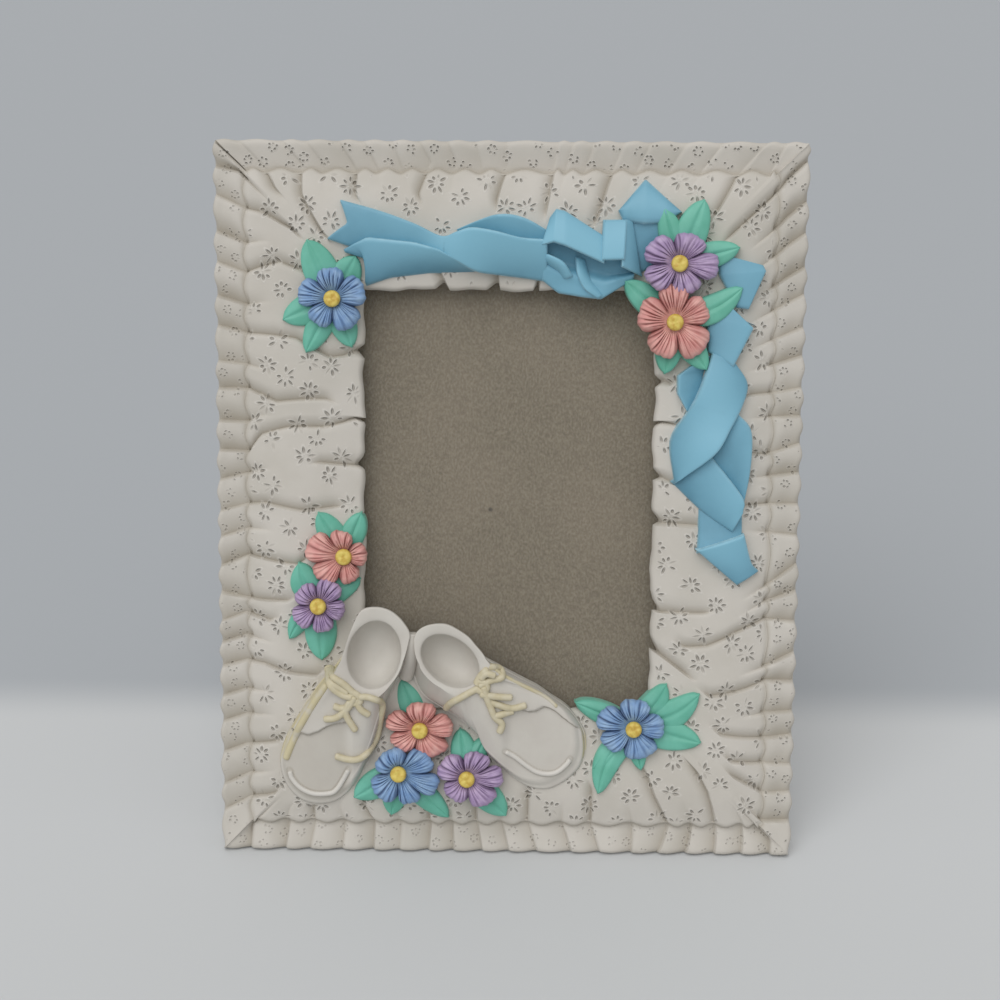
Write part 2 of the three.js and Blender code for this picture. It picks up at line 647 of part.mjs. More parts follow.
function stemSolid(from, to, lift, gap) {
  const along = to.clone().sub(from);
  const aside = new THREE.Vector3(-along.y, along.x, 0).normalize();
  const surface = (u, v) => {
    const point = from.clone().addScaledVector(along, u).addScaledVector(aside, (v - 0.5) * stalkWidth);
    return onFace(point.x, point.y, lift + leafEdgeRise);
  };
  return patchSolid(surface, leafSteps, 1, gap);
}

function spraySolid({ lift, leaves }, gap) {
  const hubs = [...new Set(leaves.map(([flower]) => flower))].map((flower) => flowerPlaces.get(flower));
  const pieces = [
    ...hubs.map((hub) => hubSolid(hub, lift, gap)),
    ...hubs.slice(1).map((hub, at) => stemSolid(hubs[at], hub, lift, gap)),
    ...leaves.map((leaf) => leafSolid(leaf, lift, gap)),
  ];
  return pieces.reduce((sum, piece) => sum.add(piece));
}

const sprayOf = (flower) => sprays.find(({ leaves }) => leaves.some(([name]) => name === flower));

// The back of a flower's petals, on top of its spray
function petalBack(name) {
  const place = flowerPlaces.get(name);
  return faceHeight(place.x, place.y) + sprayOf(name).lift + leafRise + fitGap;
}

// Five petals round a dish: loops at shares of the radius, notched between the petals.
function petalSolid(name, radius, turn, gap) {
  const place = flowerPlaces.get(name);
  const columns = 4 * petalCount;
  const loop = (share, rise, fullness) => Array.from({ length: columns }, (_, column) => {
    const angle = (2 * Math.PI * column) / columns;
    const petal = Math.abs(Math.cos((petalCount * angle) / 2));
    const reach = radius * share * (1 - petalNotch * fullness * (1 - petal));
    const bearing = angle + degToRad(turn);
    const height = petalBack(name) + rise * lerp(1 - fullness / 3, 1, petal);
    const out = new THREE.Vector3(Math.cos(bearing), Math.sin(bearing), 0);
    return place.clone().addScaledVector(out, reach).setZ(height);
  });
  return loftSolid([
    loop(petalBackShare, 0, 1),
    loop(1, petalEdgeRise, 1),
    loop(petalCrestShare, petalRise, petalCrestFullness),
    loop(dishShare, dishRise, 0),
  ], place.clone().setZ(petalBack(name) + petalDip), gap);
}

// The button in the dish, with a back that follows it
function flowerCentreSolid(name, radius) {
  const place = flowerPlaces.get(name);
  const edgeRise = ((dishRise - petalDip) * centreRadius) / (dishShare * radius);
  const profile = [
    new THREE.Vector2(0, 0),
    new THREE.Vector2(centreRadius, edgeRise),
    new THREE.Vector2(centreRadius, centreEdgeRise),
    new THREE.Vector2(centreRadius * centreShoulder, centreShoulderRise),
    new THREE.Vector2(0, centreRise),
  ];
  const button = new THREE.LatheGeometry(profile, roundSides).rotateX(Math.PI / 2);
  return button.translate(place.x, place.y, petalBack(name) + petalDip + fitGap);
}

// Round head and shank about z, head towards the back: for rivets and screws.
function headedPin(shankRadius, depth, headRadius, headHeight) {
  const profile = [
    new THREE.Vector2(0, -headHeight),
    new THREE.Vector2(headRadius * headFlat, -headHeight),
    new THREE.Vector2(headRadius, -headHeight / 2),
    new THREE.Vector2(headRadius, 0),
    new THREE.Vector2(shankRadius, 0),
    new THREE.Vector2(shankRadius, depth),
    new THREE.Vector2(0, depth),
  ];
  return new THREE.LatheGeometry(profile, roundSides).rotateX(Math.PI / 2);
}

// The object: a face group that leans back, and a leg group on the hinge pin
const photoFrame = new THREE.Group();
photoFrame.name = "baby_photo_frame";
const face = new THREE.Group();
face.rotation.x = Math.PI / 2 - lean;
face.position.y = landDepth / (2 * Math.cos(lean));
photoFrame.add(face);
const leg = new THREE.Group();
leg.position.set(0, pinHeight, -pinDepth);
leg.rotation.x = legOpening;
face.add(leg);

// Casting with blind holes for the button screws
const buttonPivots = [
  ["upper_left", -1, 1],
  ["upper_right", 1, 1],
  ["lower_left", -1, -1],
  ["lower_right", 1, -1],
].map(([name, across, up]) => ({
  name,
  turn: across < 0 ? 0 : Math.PI,
  x: across * (rebateWidth / 2 + buttonFromRebate),
  y: windowMiddle + up * buttonSpread,
}));
const screwHole = barSolid("z", screwRadius + fitGap, holeStart, screwDepth + fitGap);
const casting = buttonPivots.reduce(
  (rest, { x, y }) => rest.subtract(screwHole.translate(x, y, 0)),
  castingSolid(),
);
addMesh(face, "resin_frame", geometryOf(casting), "resin");

// Ornaments, each cut to whatever it lies on among the pieces already there
const carriers = [];
function addCarrier(solid) {
  carriers.push({ solid, box: solid.boundingBox() });
}
const boxesMeet = (a, b) => a.min.every((low, axis) => low < b.max[axis] && b.min[axis] < a.max[axis]);

function addOrnament(name, finish, shapeWith) {
  const blank = shapeWith(0);
  const box = blank.boundingBox();
  const near = carriers.filter((carrier) => boxesMeet(carrier.box, box));
  const seated = largestBody(near.reduce((rest, carrier) => rest.subtract(carrier.solid), blank));
  addCarrier(shapeWith(fitGap));
  addMesh(face, name, geometryOf(seated), finish);
}
addCarrier(borderSolid(fitGap));
ribbons.forEach((ribbon) => {
  addOrnament(`ribbon_${ribbon.name}`, "ribbon", (gap) => ribbonSolid(ribbon, gap));
});
shoes.forEach((shoe) => addOrnament(shoe.name, "shoe", (gap) => shoeSolid(shoe, gap)));
shoes.forEach((shoe) => addOrnament(`${shoe.name}_laces`, "lace", (gap) => laceSolid(shoe, gap)));
sprays.forEach((spray) => {
  addOrnament(`leaf_spray_${spray.name}`, "green", (gap) => spraySolid(spray, gap));
});
flowers.forEach(([name, , , , radius, turn, finish]) => {
  addOrnament(`petals_${name}`, finish, (gap) => petalSolid(name, radius, turn, gap));
  addMesh(face, `centre_${name}`, flowerCentreSolid(name, radius), "yellow");
});

// Glass and backing board
const paneWidth = rebateWidth - 2 * fitGap;
const paneHeight = rebateHeight - 2 * fitGap;
const glass = new THREE.BoxGeometry(paneWidth, paneHeight, glassThickness);
const glassMiddle = boardThickness + printRoom + glassThickness / 2;
addMesh(face, "glass_pane", glass.translate(0, windowMiddle, glassMiddle), "glass");

const rivetPlaces = [-rivetSpacing / 2, rivetSpacing / 2];
const leafRivetHeight = leafHeight - rivetInset;
const rivetHole = barSolid("z", rivetRadius + fitGap, holeStart, rivetDepth + fitGap);
const boardBlank = boxSolid(
  [-paneWidth / 2, paneWidth / 2],
  [windowMiddle - paneHeight / 2, windowMiddle + paneHeight / 2],
  [0, boardThickness],
);
const board = rivetPlaces.reduce(
  (rest, x) => rest.subtract(rivetHole.translate(x, pinHeight + leafRivetHeight, 0)),
  boardBlank,
);
addMesh(face, "backing_board", geometryOf(board), "chipboard");

// Hinge: leaves drawn about the pin, y up the board and z towards it
const plateStart = knuckleRadius + fitGap;
const bore = barSolid("x", pinRadius + fitGap, -hingeWidth, hingeWidth);
const sideKnuckles = [
  [-hingeWidth / 2, -middleKnuckle / 2 - fitGap],
  [middleKnuckle / 2 + fitGap, hingeWidth / 2],
];
const throughLeaf = barSolid("z", rivetRadius + fitGap, -2 * knuckleRadius, 2 * knuckleRadius);

function hingeLeafSolid(knuckles, upward, plateZ) {
  const toPlate = (from, to) => (upward ? [from, to] : [-to, -from]);
  const plate = boxSolid([-hingeWidth / 2, hingeWidth / 2], toPlate(plateStart, leafHeight), plateZ);
  const curled = knuckles.reduce((sum, span) => {
    const web = boxSolid(span, toPlate(0, plateStart + leafThickness), plateZ);
    return sum.add(web).add(barSolid("x", knuckleRadius, ...span));
  }, plate);
  return rivetPlaces.reduce(
    (rest, x) => rest.subtract(throughLeaf.translate(x, upward ? leafRivetHeight : -leafRivetHeight, 0)),
    curled,
  );
}

const boardLeaf = hingeLeafSolid(sideKnuckles, true, [knuckleRadius - leafThickness, knuckleRadius])
  .subtract(bore);
addMesh(face, "hinge_leaf_board", geometryOf(boardLeaf.translate(0, pinHeight, -pinDepth)), "steel");
const pin = new THREE.CylinderGeometry(pinRadius, pinRadius, hingeWidth, roundSides).rotateZ(Math.PI / 2);
addMesh(face, "hinge_pin", pin.translate(0, pinHeight, -pinDepth), "steel");

const middleSpan = [-middleKnuckle / 2, middleKnuckle / 2];
const stopFace = knuckleRadius - leafThickness - fitGap;
const heel = boxSolid(middleSpan, [0, heelLength], [stopFace - leafThickness, stopFace])
  .rotate([THREE.MathUtils.radToDeg(-legOpening), 0, 0]);
const legLeaf = hingeLeafSolid([middleSpan], false, [-knuckleRadius, leafThickness - knuckleRadius])
  .add(heel)
  .subtract(bore);
addMesh(leg, "hinge_leaf_leg", geometryOf(legLeaf), "steel");

// Leg: a tapered board cut level with the ground at its foot
const legBack = leafThickness - knuckleRadius + fitGap;
const pinAboveGround = pinHeight * Math.cos(lean) - pinDepth * Math.sin(lean);
const legLength = pinAboveGround / Math.cos(legOpening - lean);
const legOverrun = 2 * legThickness;
const legTop = -plateStart - fitGap;
const legOutline = new THREE.Shape([
  new THREE.Vector2(-legTopWidth / 2, legTop),
  new THREE.Vector2(-legFootWidth / 2, -legLength - legOverrun),
  new THREE.Vector2(legFootWidth / 2, -legLength - legOverrun),
  new THREE.Vector2(legTopWidth / 2, legTop),
]);
const legPlank = new THREE.ExtrudeGeometry(legOutline, { depth: legThickness, bevelEnabled: false });
const legBlank = solidOf(legPlank.translate(0, 0, legBack));
const legBoard = rivetPlaces.reduce(
  (rest, x) => rest.subtract(rivetHole.translate(x, -leafRivetHeight, legBack)),
  legBlank.subtract(groundBelow(Math.PI / 2 - lean + legOpening, pinAboveGround)),
);
addMesh(leg, "easel_leg", geometryOf(legBoard), "chipboard");

// Rivets: two through each leaf
const rivetShank = leafThickness + 2 * fitGap + rivetDepth;
const rivet = headedPin(rivetRadius, rivetShank, rivetHeadRadius, rivetHeadHeight);
["left", "right"].forEach((name, at) => {
  const boardRivet = addMesh(face, `board_rivet_${name}`, rivet.clone(), "steel");
  boardRivet.position.set(rivetPlaces[at], pinHeight + leafRivetHeight, -2 * fitGap - leafThickness);
  const legRivet = addMesh(leg, `leg_rivet_${name}`, rivet.clone(), "steel");
  legRivet.position.set(rivetPlaces[at], -leafRivetHeight, -knuckleRadius - fitGap);
});

// Turn buttons: pointed straps that reach over the board, each on a screw
const buttonOutline = new THREE.Shape();
buttonOutline.absarc(0, 0, buttonPivotRadius, Math.PI / 2, (3 * Math.PI) / 2);
buttonOutline.absarc(buttonReach, 0, buttonTipRadius, -Math.PI / 2, Math.PI / 2);
buttonOutline.holes.push(new THREE.Path().absarc(0, 0, screwRadius + fitGap, 0, 2 * Math.PI, true));
const buttonStrap = new THREE.ExtrudeGeometry(buttonOutline, {
  depth: buttonThickness,
  bevelEnabled: false,
  curveSegments: buttonArcSteps,
});
const screwShank = screwDepth + buttonThickness + 2 * fitGap;
const buttonScrew = headedPin(screwRadius, screwShank, screwHeadRadius, screwHeadHeight);
buttonPivots.forEach(({ name, x, y, turn }) => {
  const button = addMesh(face, `turn_button_${name}`, buttonStrap.clone(), "steel");
  button.position.set(x, y, -fitGap - buttonThickness);
  button.rotation.z = turn;
  const screw = addMesh(face, `button_screw_${name}`, buttonScrew.clone(), "steel");
  screw.position.set(x, y, -2 * fitGap - buttonThickness);
});

export default photoFrame;
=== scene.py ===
import math

import bmesh
import bpy
import numpy as np
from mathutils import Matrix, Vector


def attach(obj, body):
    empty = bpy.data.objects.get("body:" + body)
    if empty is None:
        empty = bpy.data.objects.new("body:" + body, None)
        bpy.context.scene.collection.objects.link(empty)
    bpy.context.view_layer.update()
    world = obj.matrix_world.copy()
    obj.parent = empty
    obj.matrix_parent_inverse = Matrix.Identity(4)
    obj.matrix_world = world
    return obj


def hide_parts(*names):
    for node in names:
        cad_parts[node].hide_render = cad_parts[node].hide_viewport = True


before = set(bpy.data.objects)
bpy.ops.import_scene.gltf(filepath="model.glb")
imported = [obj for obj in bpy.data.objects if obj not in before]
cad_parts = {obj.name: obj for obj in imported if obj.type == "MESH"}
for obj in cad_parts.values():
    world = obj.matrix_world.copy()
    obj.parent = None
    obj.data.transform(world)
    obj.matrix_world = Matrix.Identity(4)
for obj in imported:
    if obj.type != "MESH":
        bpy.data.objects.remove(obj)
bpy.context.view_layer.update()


# The border: one resin casting of gathered eyelet cloth, a ruffle of knife pleats round a puffed panel.
# It was poured in a mould, painted cream and wiped with a thin yellowish wash that stays in the folds.
# Its colour darkens with each fold's depth: partly that wash, partly painted shade in the folds.
lean = math.radians(15)
land_depth = 7
land_middle = land_depth / (2 * math.cos(lean))
outer_corners = np.array([[-82.85, -1.8756], [82.85, -1.8756], [82.85, 202.5244], [-82.85, 202.5244]])
window_corners = np.array([[-41.25, 41.0244], [41.25, 41.0244], [41.25, 161.5244], [-41.25, 161.5244]])
border_width, border_bottom, border_top = 41.6, 42.9, 41
side_normals = np.array([[0, -1], [1, 0], [0, 1], [-1, 0]])
ledges_forward = [True, False, False, True]

# The sides run anticlockwise from the lower left corner, and a place along one is a share of its length.
pleat_lines = [
    [.048, .109, .153, .21, .265, .311, .362, .406, .457, .504, .554, .614, .664, .719, .766, .815, .865,
     .913, .963],
    [.052, .095, .135, .178, .212, .255, .297, .341, .385, .423, .463, .507, .551, .592, .63, .669, .713,
     .752, .797, .834, .88, .922, .976],
    [.04, .072, .145, .205, .265, .31, .36, .395, .421, .508, .56, .608, .655, .70, .748, .79, .845, .885,
     .957],
    [.035, .073, .122, .164, .21, .251, .3, .338, .383, .424, .466, .51, .547, .588, .625, .667, .698, .732,
     .775, .812, .857, .904, .942],
]
# Gathers that run in over the panel from a pleat's line: [inset in mm, share of the side's length]
panel_folds = [
    {3: [(8.1, .126), (13, .099)], 5: [(8.6, .24), (14.7, .195)], 7: [(7.9, .352), (12.6, .339)],
     9: [(8.4, .442), (14.8, .434)], 11: [(8.5, .542), (17.9, .549)], 13: [(8.2, .664), (19.2, .694)],
     15: [(8.5, .817), (17.7, .827), (24.3, .843)], 17: [(8, .906), (19.1, .955), (25.7, .975)]},
    {2: [(8.4, .056), (17.2, .038)], 3: [(8.7, .102), (17.9, .06)], 4: [(10.3, .135), (21.3, .091)],
     6: [(8.2, .234), (16.4, .19), (24.7, .145)], 7: [(31.7, .143), (40.9, .091)],
     8: [(9.2, .328), (17.4, .288), (25.6, .237), (32, .208)], 10: [(26.5, .297), (40.5, .251)],
     11: [(29.2, .463), (40.8, .457)], 12: [(9, .507), (15.7, .504)], 13: [(35.4, .546), (41.1, .561)],
     14: [(8, .585), (10.5, .583), (14.2, .589)], 15: [(33.2, .665), (40.8, .688)],
     16: [(8.4, .675), (15.4, .685)], 18: [(38.2, .767), (40.7, .779)],
     23: [(5.4, .977), (8.3, .973), (21.5, .973)]},
    {2: [(10, .072), (19.8, .048)], 6: [(12.5, .31), (21.9, .304)], 8: [(37, .408), (41.6, .408)],
     9: [(9.8, .421), (19.2, .422)], 10: [(8.4, .508), (12.3, .519), (16.9, .53)],
     11: [(37, .538), (41.6, .538)], 13: [(6.1, .646), (10, .663), (15.1, .689)],
     14: [(37, .713), (41.6, .713)], 16: [(8.7, .789), (15.2, .82)],
     18: [(6.9, .883), (15.3, .931), (25.6, .959)], 19: [(8, .957), (13.4, .974)]},
    {2: [(9, .054), (14.3, .034), (19.3, .024), (22.3, .016)], 4: [(8.7, .15), (18.6, .092), (26.1, .072)],
     6: [(9.4, .239), (22.9, .204), (32.4, .203), (42.3, .15)],
     8: [(9.2, .323), (17.4, .328), (31.2, .291)],
     10: [(9, .419), (12.7, .389), (20.1, .367), (31.2, .347), (41.4, .304)],
     11: [(29.4, .42), (41.3, .417)], 12: [(8.2, .5), (13.9, .498), (24.5, .513), (33.6, .509)],
     14: [(8.6, .579), (22.9, .611), (41, .56)], 15: [(11.6, .653), (19.7, .67)],
     16: [(7.5, .666), (14.7, .693)], 18: [(7.4, .74), (13.1, .761), (20, .798), (28.1, .839)],
     21: [(7, .87), (16.9, .907)], 23: [(8, .958), (15.6, .992)]},
]
# One value for each side, or for the corner that it starts from: depths, swings and lifts in millimetres,
# and how strongly the ruffle's dots show
mitre_depths = [-0.5, -0.5, -0.4, 1.4]
pleat_depths = [1.25, 1.85, 0.45, 1.85]
rim_scallops = [0.15, 0.45, 0.25, 0.45]
seam_scallops = [0.55, 0.15, 0.5, 0.15]
seam_lifts = [0.4, 1.8, 0, 1.8]
dot_strengths = [.4, .7, 1, .5]
# The panel between the ruffle and the window: its insets and heights at the edge, the crown and the end
panel_edge, panel_crown, panel_end = 9.8, 21, 40
edge_height, crown_height, end_height = 11.5, 13.4, 10.8
front_height = 8
fold_depth = 1.5
fold_fade = 4
dimple_share = .45
dimple_reach = (9.5, 17)
inner_start, inner_end = 14, 39
narrow_flank, broad_flank, band_gain = .6, 3.4, 3
square_reach = 10
least_gap = .009
seam_carry = .8
seam_inset = 8.7
window_wave = 0.45
window_notch = 2.3
wash_depth = 1.6
sharp_angle = math.radians(50)
chance = np.random.default_rng(7)


def stand(face):
    """Face millimetres (x right, y up the face, z out of its flat back) to metres on the ground, leaned
    back."""
    x, y, z = np.moveaxis(np.asarray(face, float), -1, 0)
    back = y * math.sin(lean) - z * math.cos(lean) + land_middle
    up = y * math.cos(lean) + z * math.sin(lean)
    return np.stack([x, back, up], axis=-1) / 1000


def grid_faces(rows, columns, around=False, over=False):
    """Quads of a grid of points; around joins its last column to the first, over its last row to the
    first."""
    row, column = np.meshgrid(np.arange(rows - (not over)), np.arange(columns - (not around)), indexing="ij")
    next_row, next_column = (row + 1) % rows, (column + 1) % columns
    corners = [row * columns + column, row * columns + next_column,
               next_row * columns + next_column, next_row * columns + column]
    return np.stack(corners, axis=-1).reshape(-1, 4)


def build(name, points, faces, finish, slot, nodes, body="frame", **values):
    """One piece from points in face millimetres and their quads: doubles merged, faces turned outwards by
    the sign of the volume, smooth but for its sharp edges, with named values kept at its points."""
    mesh = bpy.data.meshes.new(name)
    mesh.from_pydata(stand(points).reshape(-1, 3).tolist(), [], faces.tolist())
    for label, value in values.items():
        store = mesh.attributes.new(label, "FLOAT", "POINT")
        store.data.foreach_set("value", np.asarray(value, np.float32).ravel())
    work = bmesh.new()
    work.from_mesh(mesh)
    bmesh.ops.remove_doubles(work, verts=work.verts, dist=2e-7)
    loose = [vertex for vertex in work.verts if not vertex.link_faces]
    bmesh.ops.delete(work, geom=loose, context="VERTS")
    if work.calc_volume(signed=True) < 0:
        bmesh.ops.reverse_faces(work, faces=work.faces)
    work.to_mesh(mesh)
    work.free()
    mesh.shade_smooth()
    mesh.set_sharp_from_angle(angle=sharp_angle)
    mesh.materials.append(finish)
    piece = bpy.data.objects.new(name, mesh)
    bpy.context.scene.collection.objects.link(piece)
    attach(piece, body)
    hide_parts(*nodes)


def ease(value, low, high):
    """Smooth step: 0 at low, 1 at high, level at both ends."""
    share = np.clip((value - low) / (high - low), 0, 1)
    return share * share * (3 - 2 * share)


def panel_rise(inset):
    """The panel's height without gathers: a quarter sine up to its crown, a quarter cosine down to its end
    at the window, and level beyond both."""
    rising = np.clip((inset - panel_edge) / (panel_crown - panel_edge), 0, 1) * math.pi / 2
    falling = np.clip((inset - panel_crown) / (panel_end - panel_crown), 0, 1) * math.pi / 2
    outer = edge_height + (crown_height - edge_height) * np.sin(rising)
    inner = end_height + (crown_height - end_height) * np.cos(falling)
    return np.where(inset < panel_crown, outer, inner)


def fold_places(side, inset):
    """Where each pleat's line lies along a side, at each inset: square to the rim across the ruffle, with the
    drawn gathers leading and the lines between them shifted in proportion, always a little apart."""
    marks = np.concatenate([[0], pleat_lines[side], [1]])
    rim_length = np.linalg.norm(outer_corners[(side + 1) % 4] - outer_corners[side])
    depth = np.minimum(inset, square_reach)[:, None]
    square = (marks * rim_length - depth) / (rim_length - 2 * depth) - marks
    square[:, [0, -1]] = 0
    folds = panel_folds[side]
    drawn = [0, *sorted(folds), len(marks) - 1]
    shifts = np.zeros((len(inset), len(drawn)))
    for place, line in enumerate(drawn[1:-1], start=1):
        path = np.array([(0, marks[line]), *folds[line]])
        shifts[:, place] = np.interp(inset, path[:, 0], path[:, 1] - marks[line]) - square[:, line]
    lines = marks + square + np.stack([np.interp(marks, marks[drawn], row) for row in shifts])
    apart = least_gap * np.arange(len(marks))
    lines = np.maximum.accumulate(lines - apart, axis=1) + apart
    lines = np.minimum(lines, 1 - apart[::-1])
    lines[:, 0], lines[:, -1] = 0, 1
    return lines


def fold_depths(side, inset):
    """How deep each line is cut into the panel at each inset: drawn gathers at full depth along their paths,
    fading in and out where they begin or end inside the panel, the other pleats only as a short dimple at
    the panel's outer edge."""
    dimple = dimple_share * pleat_depths[side] * (1 - ease(inset, *dimple_reach))
    depths = np.repeat(dimple[:, None], len(pleat_lines[side]) + 2, axis=1)
    depths[:, [0, -1]] = 0
    for line, path in panel_folds[side].items():
        first, last = path[0][0], path[-1][0]
        fade_in = ease(inset, first - fold_fade, first + 1) if first > inner_start else 1
        fade_out = 1 - ease(inset, last - 1, last + fold_fade) if last < inner_end else 1
        depths[:, line] = np.maximum(fold_depth * fade_in * fade_out, depths[:, line])
    return depths


# The section, from the back's outer edge over the ruffle and the panel into the rebate. Outer rows give
# inset, height and the shares of pleat and scallop; window rows give inset, height and the share of the
# lip's wave.
outer_rows = np.array([
    (0, 0, 0, 0), (0, 3, 0, 0), (0, 6, 0, 0), (0, 7.2, 0, .15), (0, 8.2, .2, .5), (0, 9.1, .6, .85),
    (.05, 9.8, .85, 1), (.3, 10.4, 1, 1), (.8, 10.75, 1, 1), (1.4, 10.8, 1, 1), (2.2, 10.65, 1, 1),
    (3.1, 10.4, 1, .9), (4, 10.15, 1, .8), (4.9, 9.9, 1, .7), (5.8, 9.65, .95, .6), (6.6, 9.45, .9, .5),
    (7.2, 9.3, .85, .4), (7.7, 9.2, .8, .4), (8.05, 9.1, .7, .4), (8.3, 9.1, .6, .4), (8.42, 9.5, .4, .5),
    (8.5, 10, .2, .6), (8.65, 10.5, .1, .6), (8.9, 10.95, 0, .6), (9.3, 11.3, 0, .5),
])
panel_insets = np.concatenate([[panel_edge, 10.5], np.arange(11.3, 35, .84), np.arange(35.5, 40.1, .65)])
window_rows = np.array([
    (40.4, 10.72, .8), (40.75, 10.5, 1), (41.05, 10.2, 1), (41.3, 9.8, 1), (41.48, 9.35, 1), (41.55, 8.85, 1),
    (41.35, 8.2, 1), (40.8, 7.4, 1), (40.1, 6.4, .9), (39.5, 5.3, .6), (38.4, 5.3, 0), (37.6, 5.3, 0),
    (37.6, 2.6, 0), (37.6, 0, 0), (28, 0, 0), (18, 0, 0), (9, 0, 0),
])
row_inset = np.concatenate([outer_rows[:, 0], panel_insets, window_rows[:, 0]])
row_height = np.concatenate([outer_rows[:, 1], panel_rise(panel_insets), window_rows[:, 1]])
row_pleat, row_scallop = np.pad(outer_rows[:, 2:].T, ((0, 0), (0, len(row_inset) - len(outer_rows))))
lip_share = np.concatenate([0 * outer_rows[:, 0], np.maximum(panel_insets - 36, 0) / 5, window_rows[:, 2]])
on_front = row_height > front_height
row_fold = ease(row_inset, 8.4, 9.4) * on_front
within_pleat = np.array([0, .04, .1, .2, .32, .44, .56, .68, .8, .9, .96])


def side_ends(side, inset):
    """Both ends of a side's line at an inset, on the mitres from the outer corners to the window's."""
    mix = (inset / border_width)[..., None]
    return [outer_corners[corner % 4] * (1 - mix) + window_corners[corner % 4] * mix
            for corner in (side, side + 1)]


def border_side(side):
    """One side of the border as columns of points, with its wash and painted shade, both deeper where a fold
    is cut deeper. Each pleat is cut by a narrow flank on one side of its line and a broad one on the other,
    across the ruffle and along the gathers on the panel. Cosines scallop the rim and the seam, and the
    window's lip is waved by sines and notched by the gathers that reach it."""
    upright, forward = side % 2 == 1, ledges_forward[side]
    lines = fold_places(side, row_inset)
    spread = chance.uniform(.75, 1.25, lines.shape[1])
    over_seam = seam_carry * (1 - ease(row_inset, 8.6, 10)) * (row_inset > 6) * on_front
    band = pleat_depths[side] * spread * np.maximum(row_pleat, over_seam * upright)[:, None]
    band[:, 0] = mitre_depths[side] * row_pleat
    band[:, -1] = mitre_depths[(side + 1) % 4] * row_pleat
    cut = (fold_depths(side, row_inset) * row_fold[:, None] + band)[:, :, None]

    share = within_pleat if forward else np.concatenate([[0], 1 - within_pleat[:0:-1]])
    apart = np.diff(lines, axis=1)[:, :, None]
    along = lines[:, :-1, None] + apart * share
    start, end = side_ends(side, row_inset)
    length = np.linalg.norm(end - start, axis=-1)[:, None, None]
    width = apart * length
    edges = [(share * width, cut[:, :-1]), ((1 - share) * width, cut[:, 1:])]
    (sharp_gap, sharp_cut), (soft_gap, soft_cut) = edges if forward else edges[::-1]
    on_band = row_pleat[:, None, None]
    sharp = 1 - ease(sharp_gap, 0, narrow_flank + .1 * on_band)
    soft_reach = np.minimum(broad_flank + band_gain * on_band, .92 * width)
    soft = np.clip(1 - soft_gap / soft_reach, 0, 1) ** 1.6
    drop = sharp * sharp_cut + soft * soft_cut

    run = along * length
    wave = np.sin(run / 3.1 + side) * .5 + np.sin(run / 1.37 + 2 * side) * .3 + np.sin(run / 5.3) * .4
    notch = np.clip(drop[row_inset.argmax()] / fold_depth, 0, 1) ** .7
    shift = np.clip(window_wave * wave + .3 - window_notch * notch, -1.7, .8)
    start, end = side_ends(side, row_inset[:, None, None] + lip_share[:, None, None] * shift)
    place = start + (end - start) * along[..., None]
    outward = np.broadcast_to(side_normals[side].astype(float), place.shape).copy()
    outward[:, 0, 0] += side_normals[side - 1]
    at_seam = np.exp(-((row_inset - seam_inset) / .9) ** 2) * on_front
    swing = rim_scallops[side] * row_scallop + seam_scallops[side] * at_seam
    crest = .42 if forward else .58
    scallop = swing[:, None, None] * np.cos(math.tau * (share - crest))
    place = place + outward * scallop[..., None]
    lift = seam_lifts[side] * ease(row_inset, 1.5, 7.5) * (1 - ease(row_inset, 8.2, 8.85)) * on_front
    height = (row_height + lift)[:, None, None] - drop
    points = np.concatenate([place, height[..., None]], axis=-1)
    rows = len(row_inset)
    return points.reshape(rows, -1, 3), np.clip(drop / wash_depth, 0, 1).reshape(rows, -1)


side_points, side_washes = zip(*(border_side(side) for side in range(4)))
border_points = np.concatenate(side_points, axis=1)
ground = -border_points[..., 2] * math.tan(lean)
border_points[..., 1] = np.maximum(border_points[..., 1], ground)
# Along the seam between ruffle and panel: a yellowed line, and painted shade where the panel's edge stands
# over the ruffle
seam_wash = .8 * np.exp(-((row_inset - 8.4) / .7) ** 2) * on_front
border_wash = np.maximum(np.concatenate(side_washes, axis=1), seam_wash[:, None])
on_panel = ease(row_inset, 9.5, 10.5) * (1 - ease(row_inset, 39, 40.5)) * on_front
on_band = ease(row_inset, .6, 1.4) * (1 - ease(row_inset, 7, 8)) * on_front
dotted = np.repeat(dot_strengths, [wash.shape[1] for wash in side_washes])


def add(tree, kind, settings=None, **sockets):
    """A shader node with its options set by name; a socket, named or numbered as i0, takes a value or,
    linked, another node's output."""
    made = tree.nodes.new("ShaderNode" + kind)
    for option, value in (settings or {}).items():
        setattr(made, option, value)
    for label, value in sockets.items():
        key = int(label[1:]) if label[0] == "i" and label[1:].isdigit() else label.replace("_", " ")
        socket = made.inputs[key]
        if isinstance(value, bpy.types.NodeSocket):
            tree.links.new(value, socket)
        else:
            socket.default_value = value
    return made


def calc(tree, operation, *operands):
    """The output of a Math node on numbers or sockets."""
    numbered = {f"i{place}": value for place, value in enumerate(operands)}
    return add(tree, "Math", {"operation": operation}, **numbered).outputs[0]


def times(tree, first, second):
    """The product of two numbers or sockets."""
    return calc(tree, "MULTIPLY", first, second)


def hypot(tree, first, second):
    """The length of a vector with two parts."""
    return calc(tree, "SQRT", calc(tree, "ADD", times(tree, first, first), times(tree, second, second)))


def linear(red, green, blue):
    """A colour from 0-255 screen values to the linear values that shaders take."""
    screen = np.array([red, green, blue]) / 255
    light = np.where(screen <= .04045, screen / 12.92, ((screen + .055) / 1.055) ** 2.4)
    return (*light.tolist(), 1.0)


def blend(tree, share, first, second):
    """The output of a Mix node between two colours, each a socket or 0-255 screen values."""
    ends = [linear(*end) if isinstance(end, tuple) else end for end in (first, second)]
    return add(tree, "Mix", {"data_type": "RGBA"}, i0=share, i6=ends[0], i7=ends[1]).outputs[2]


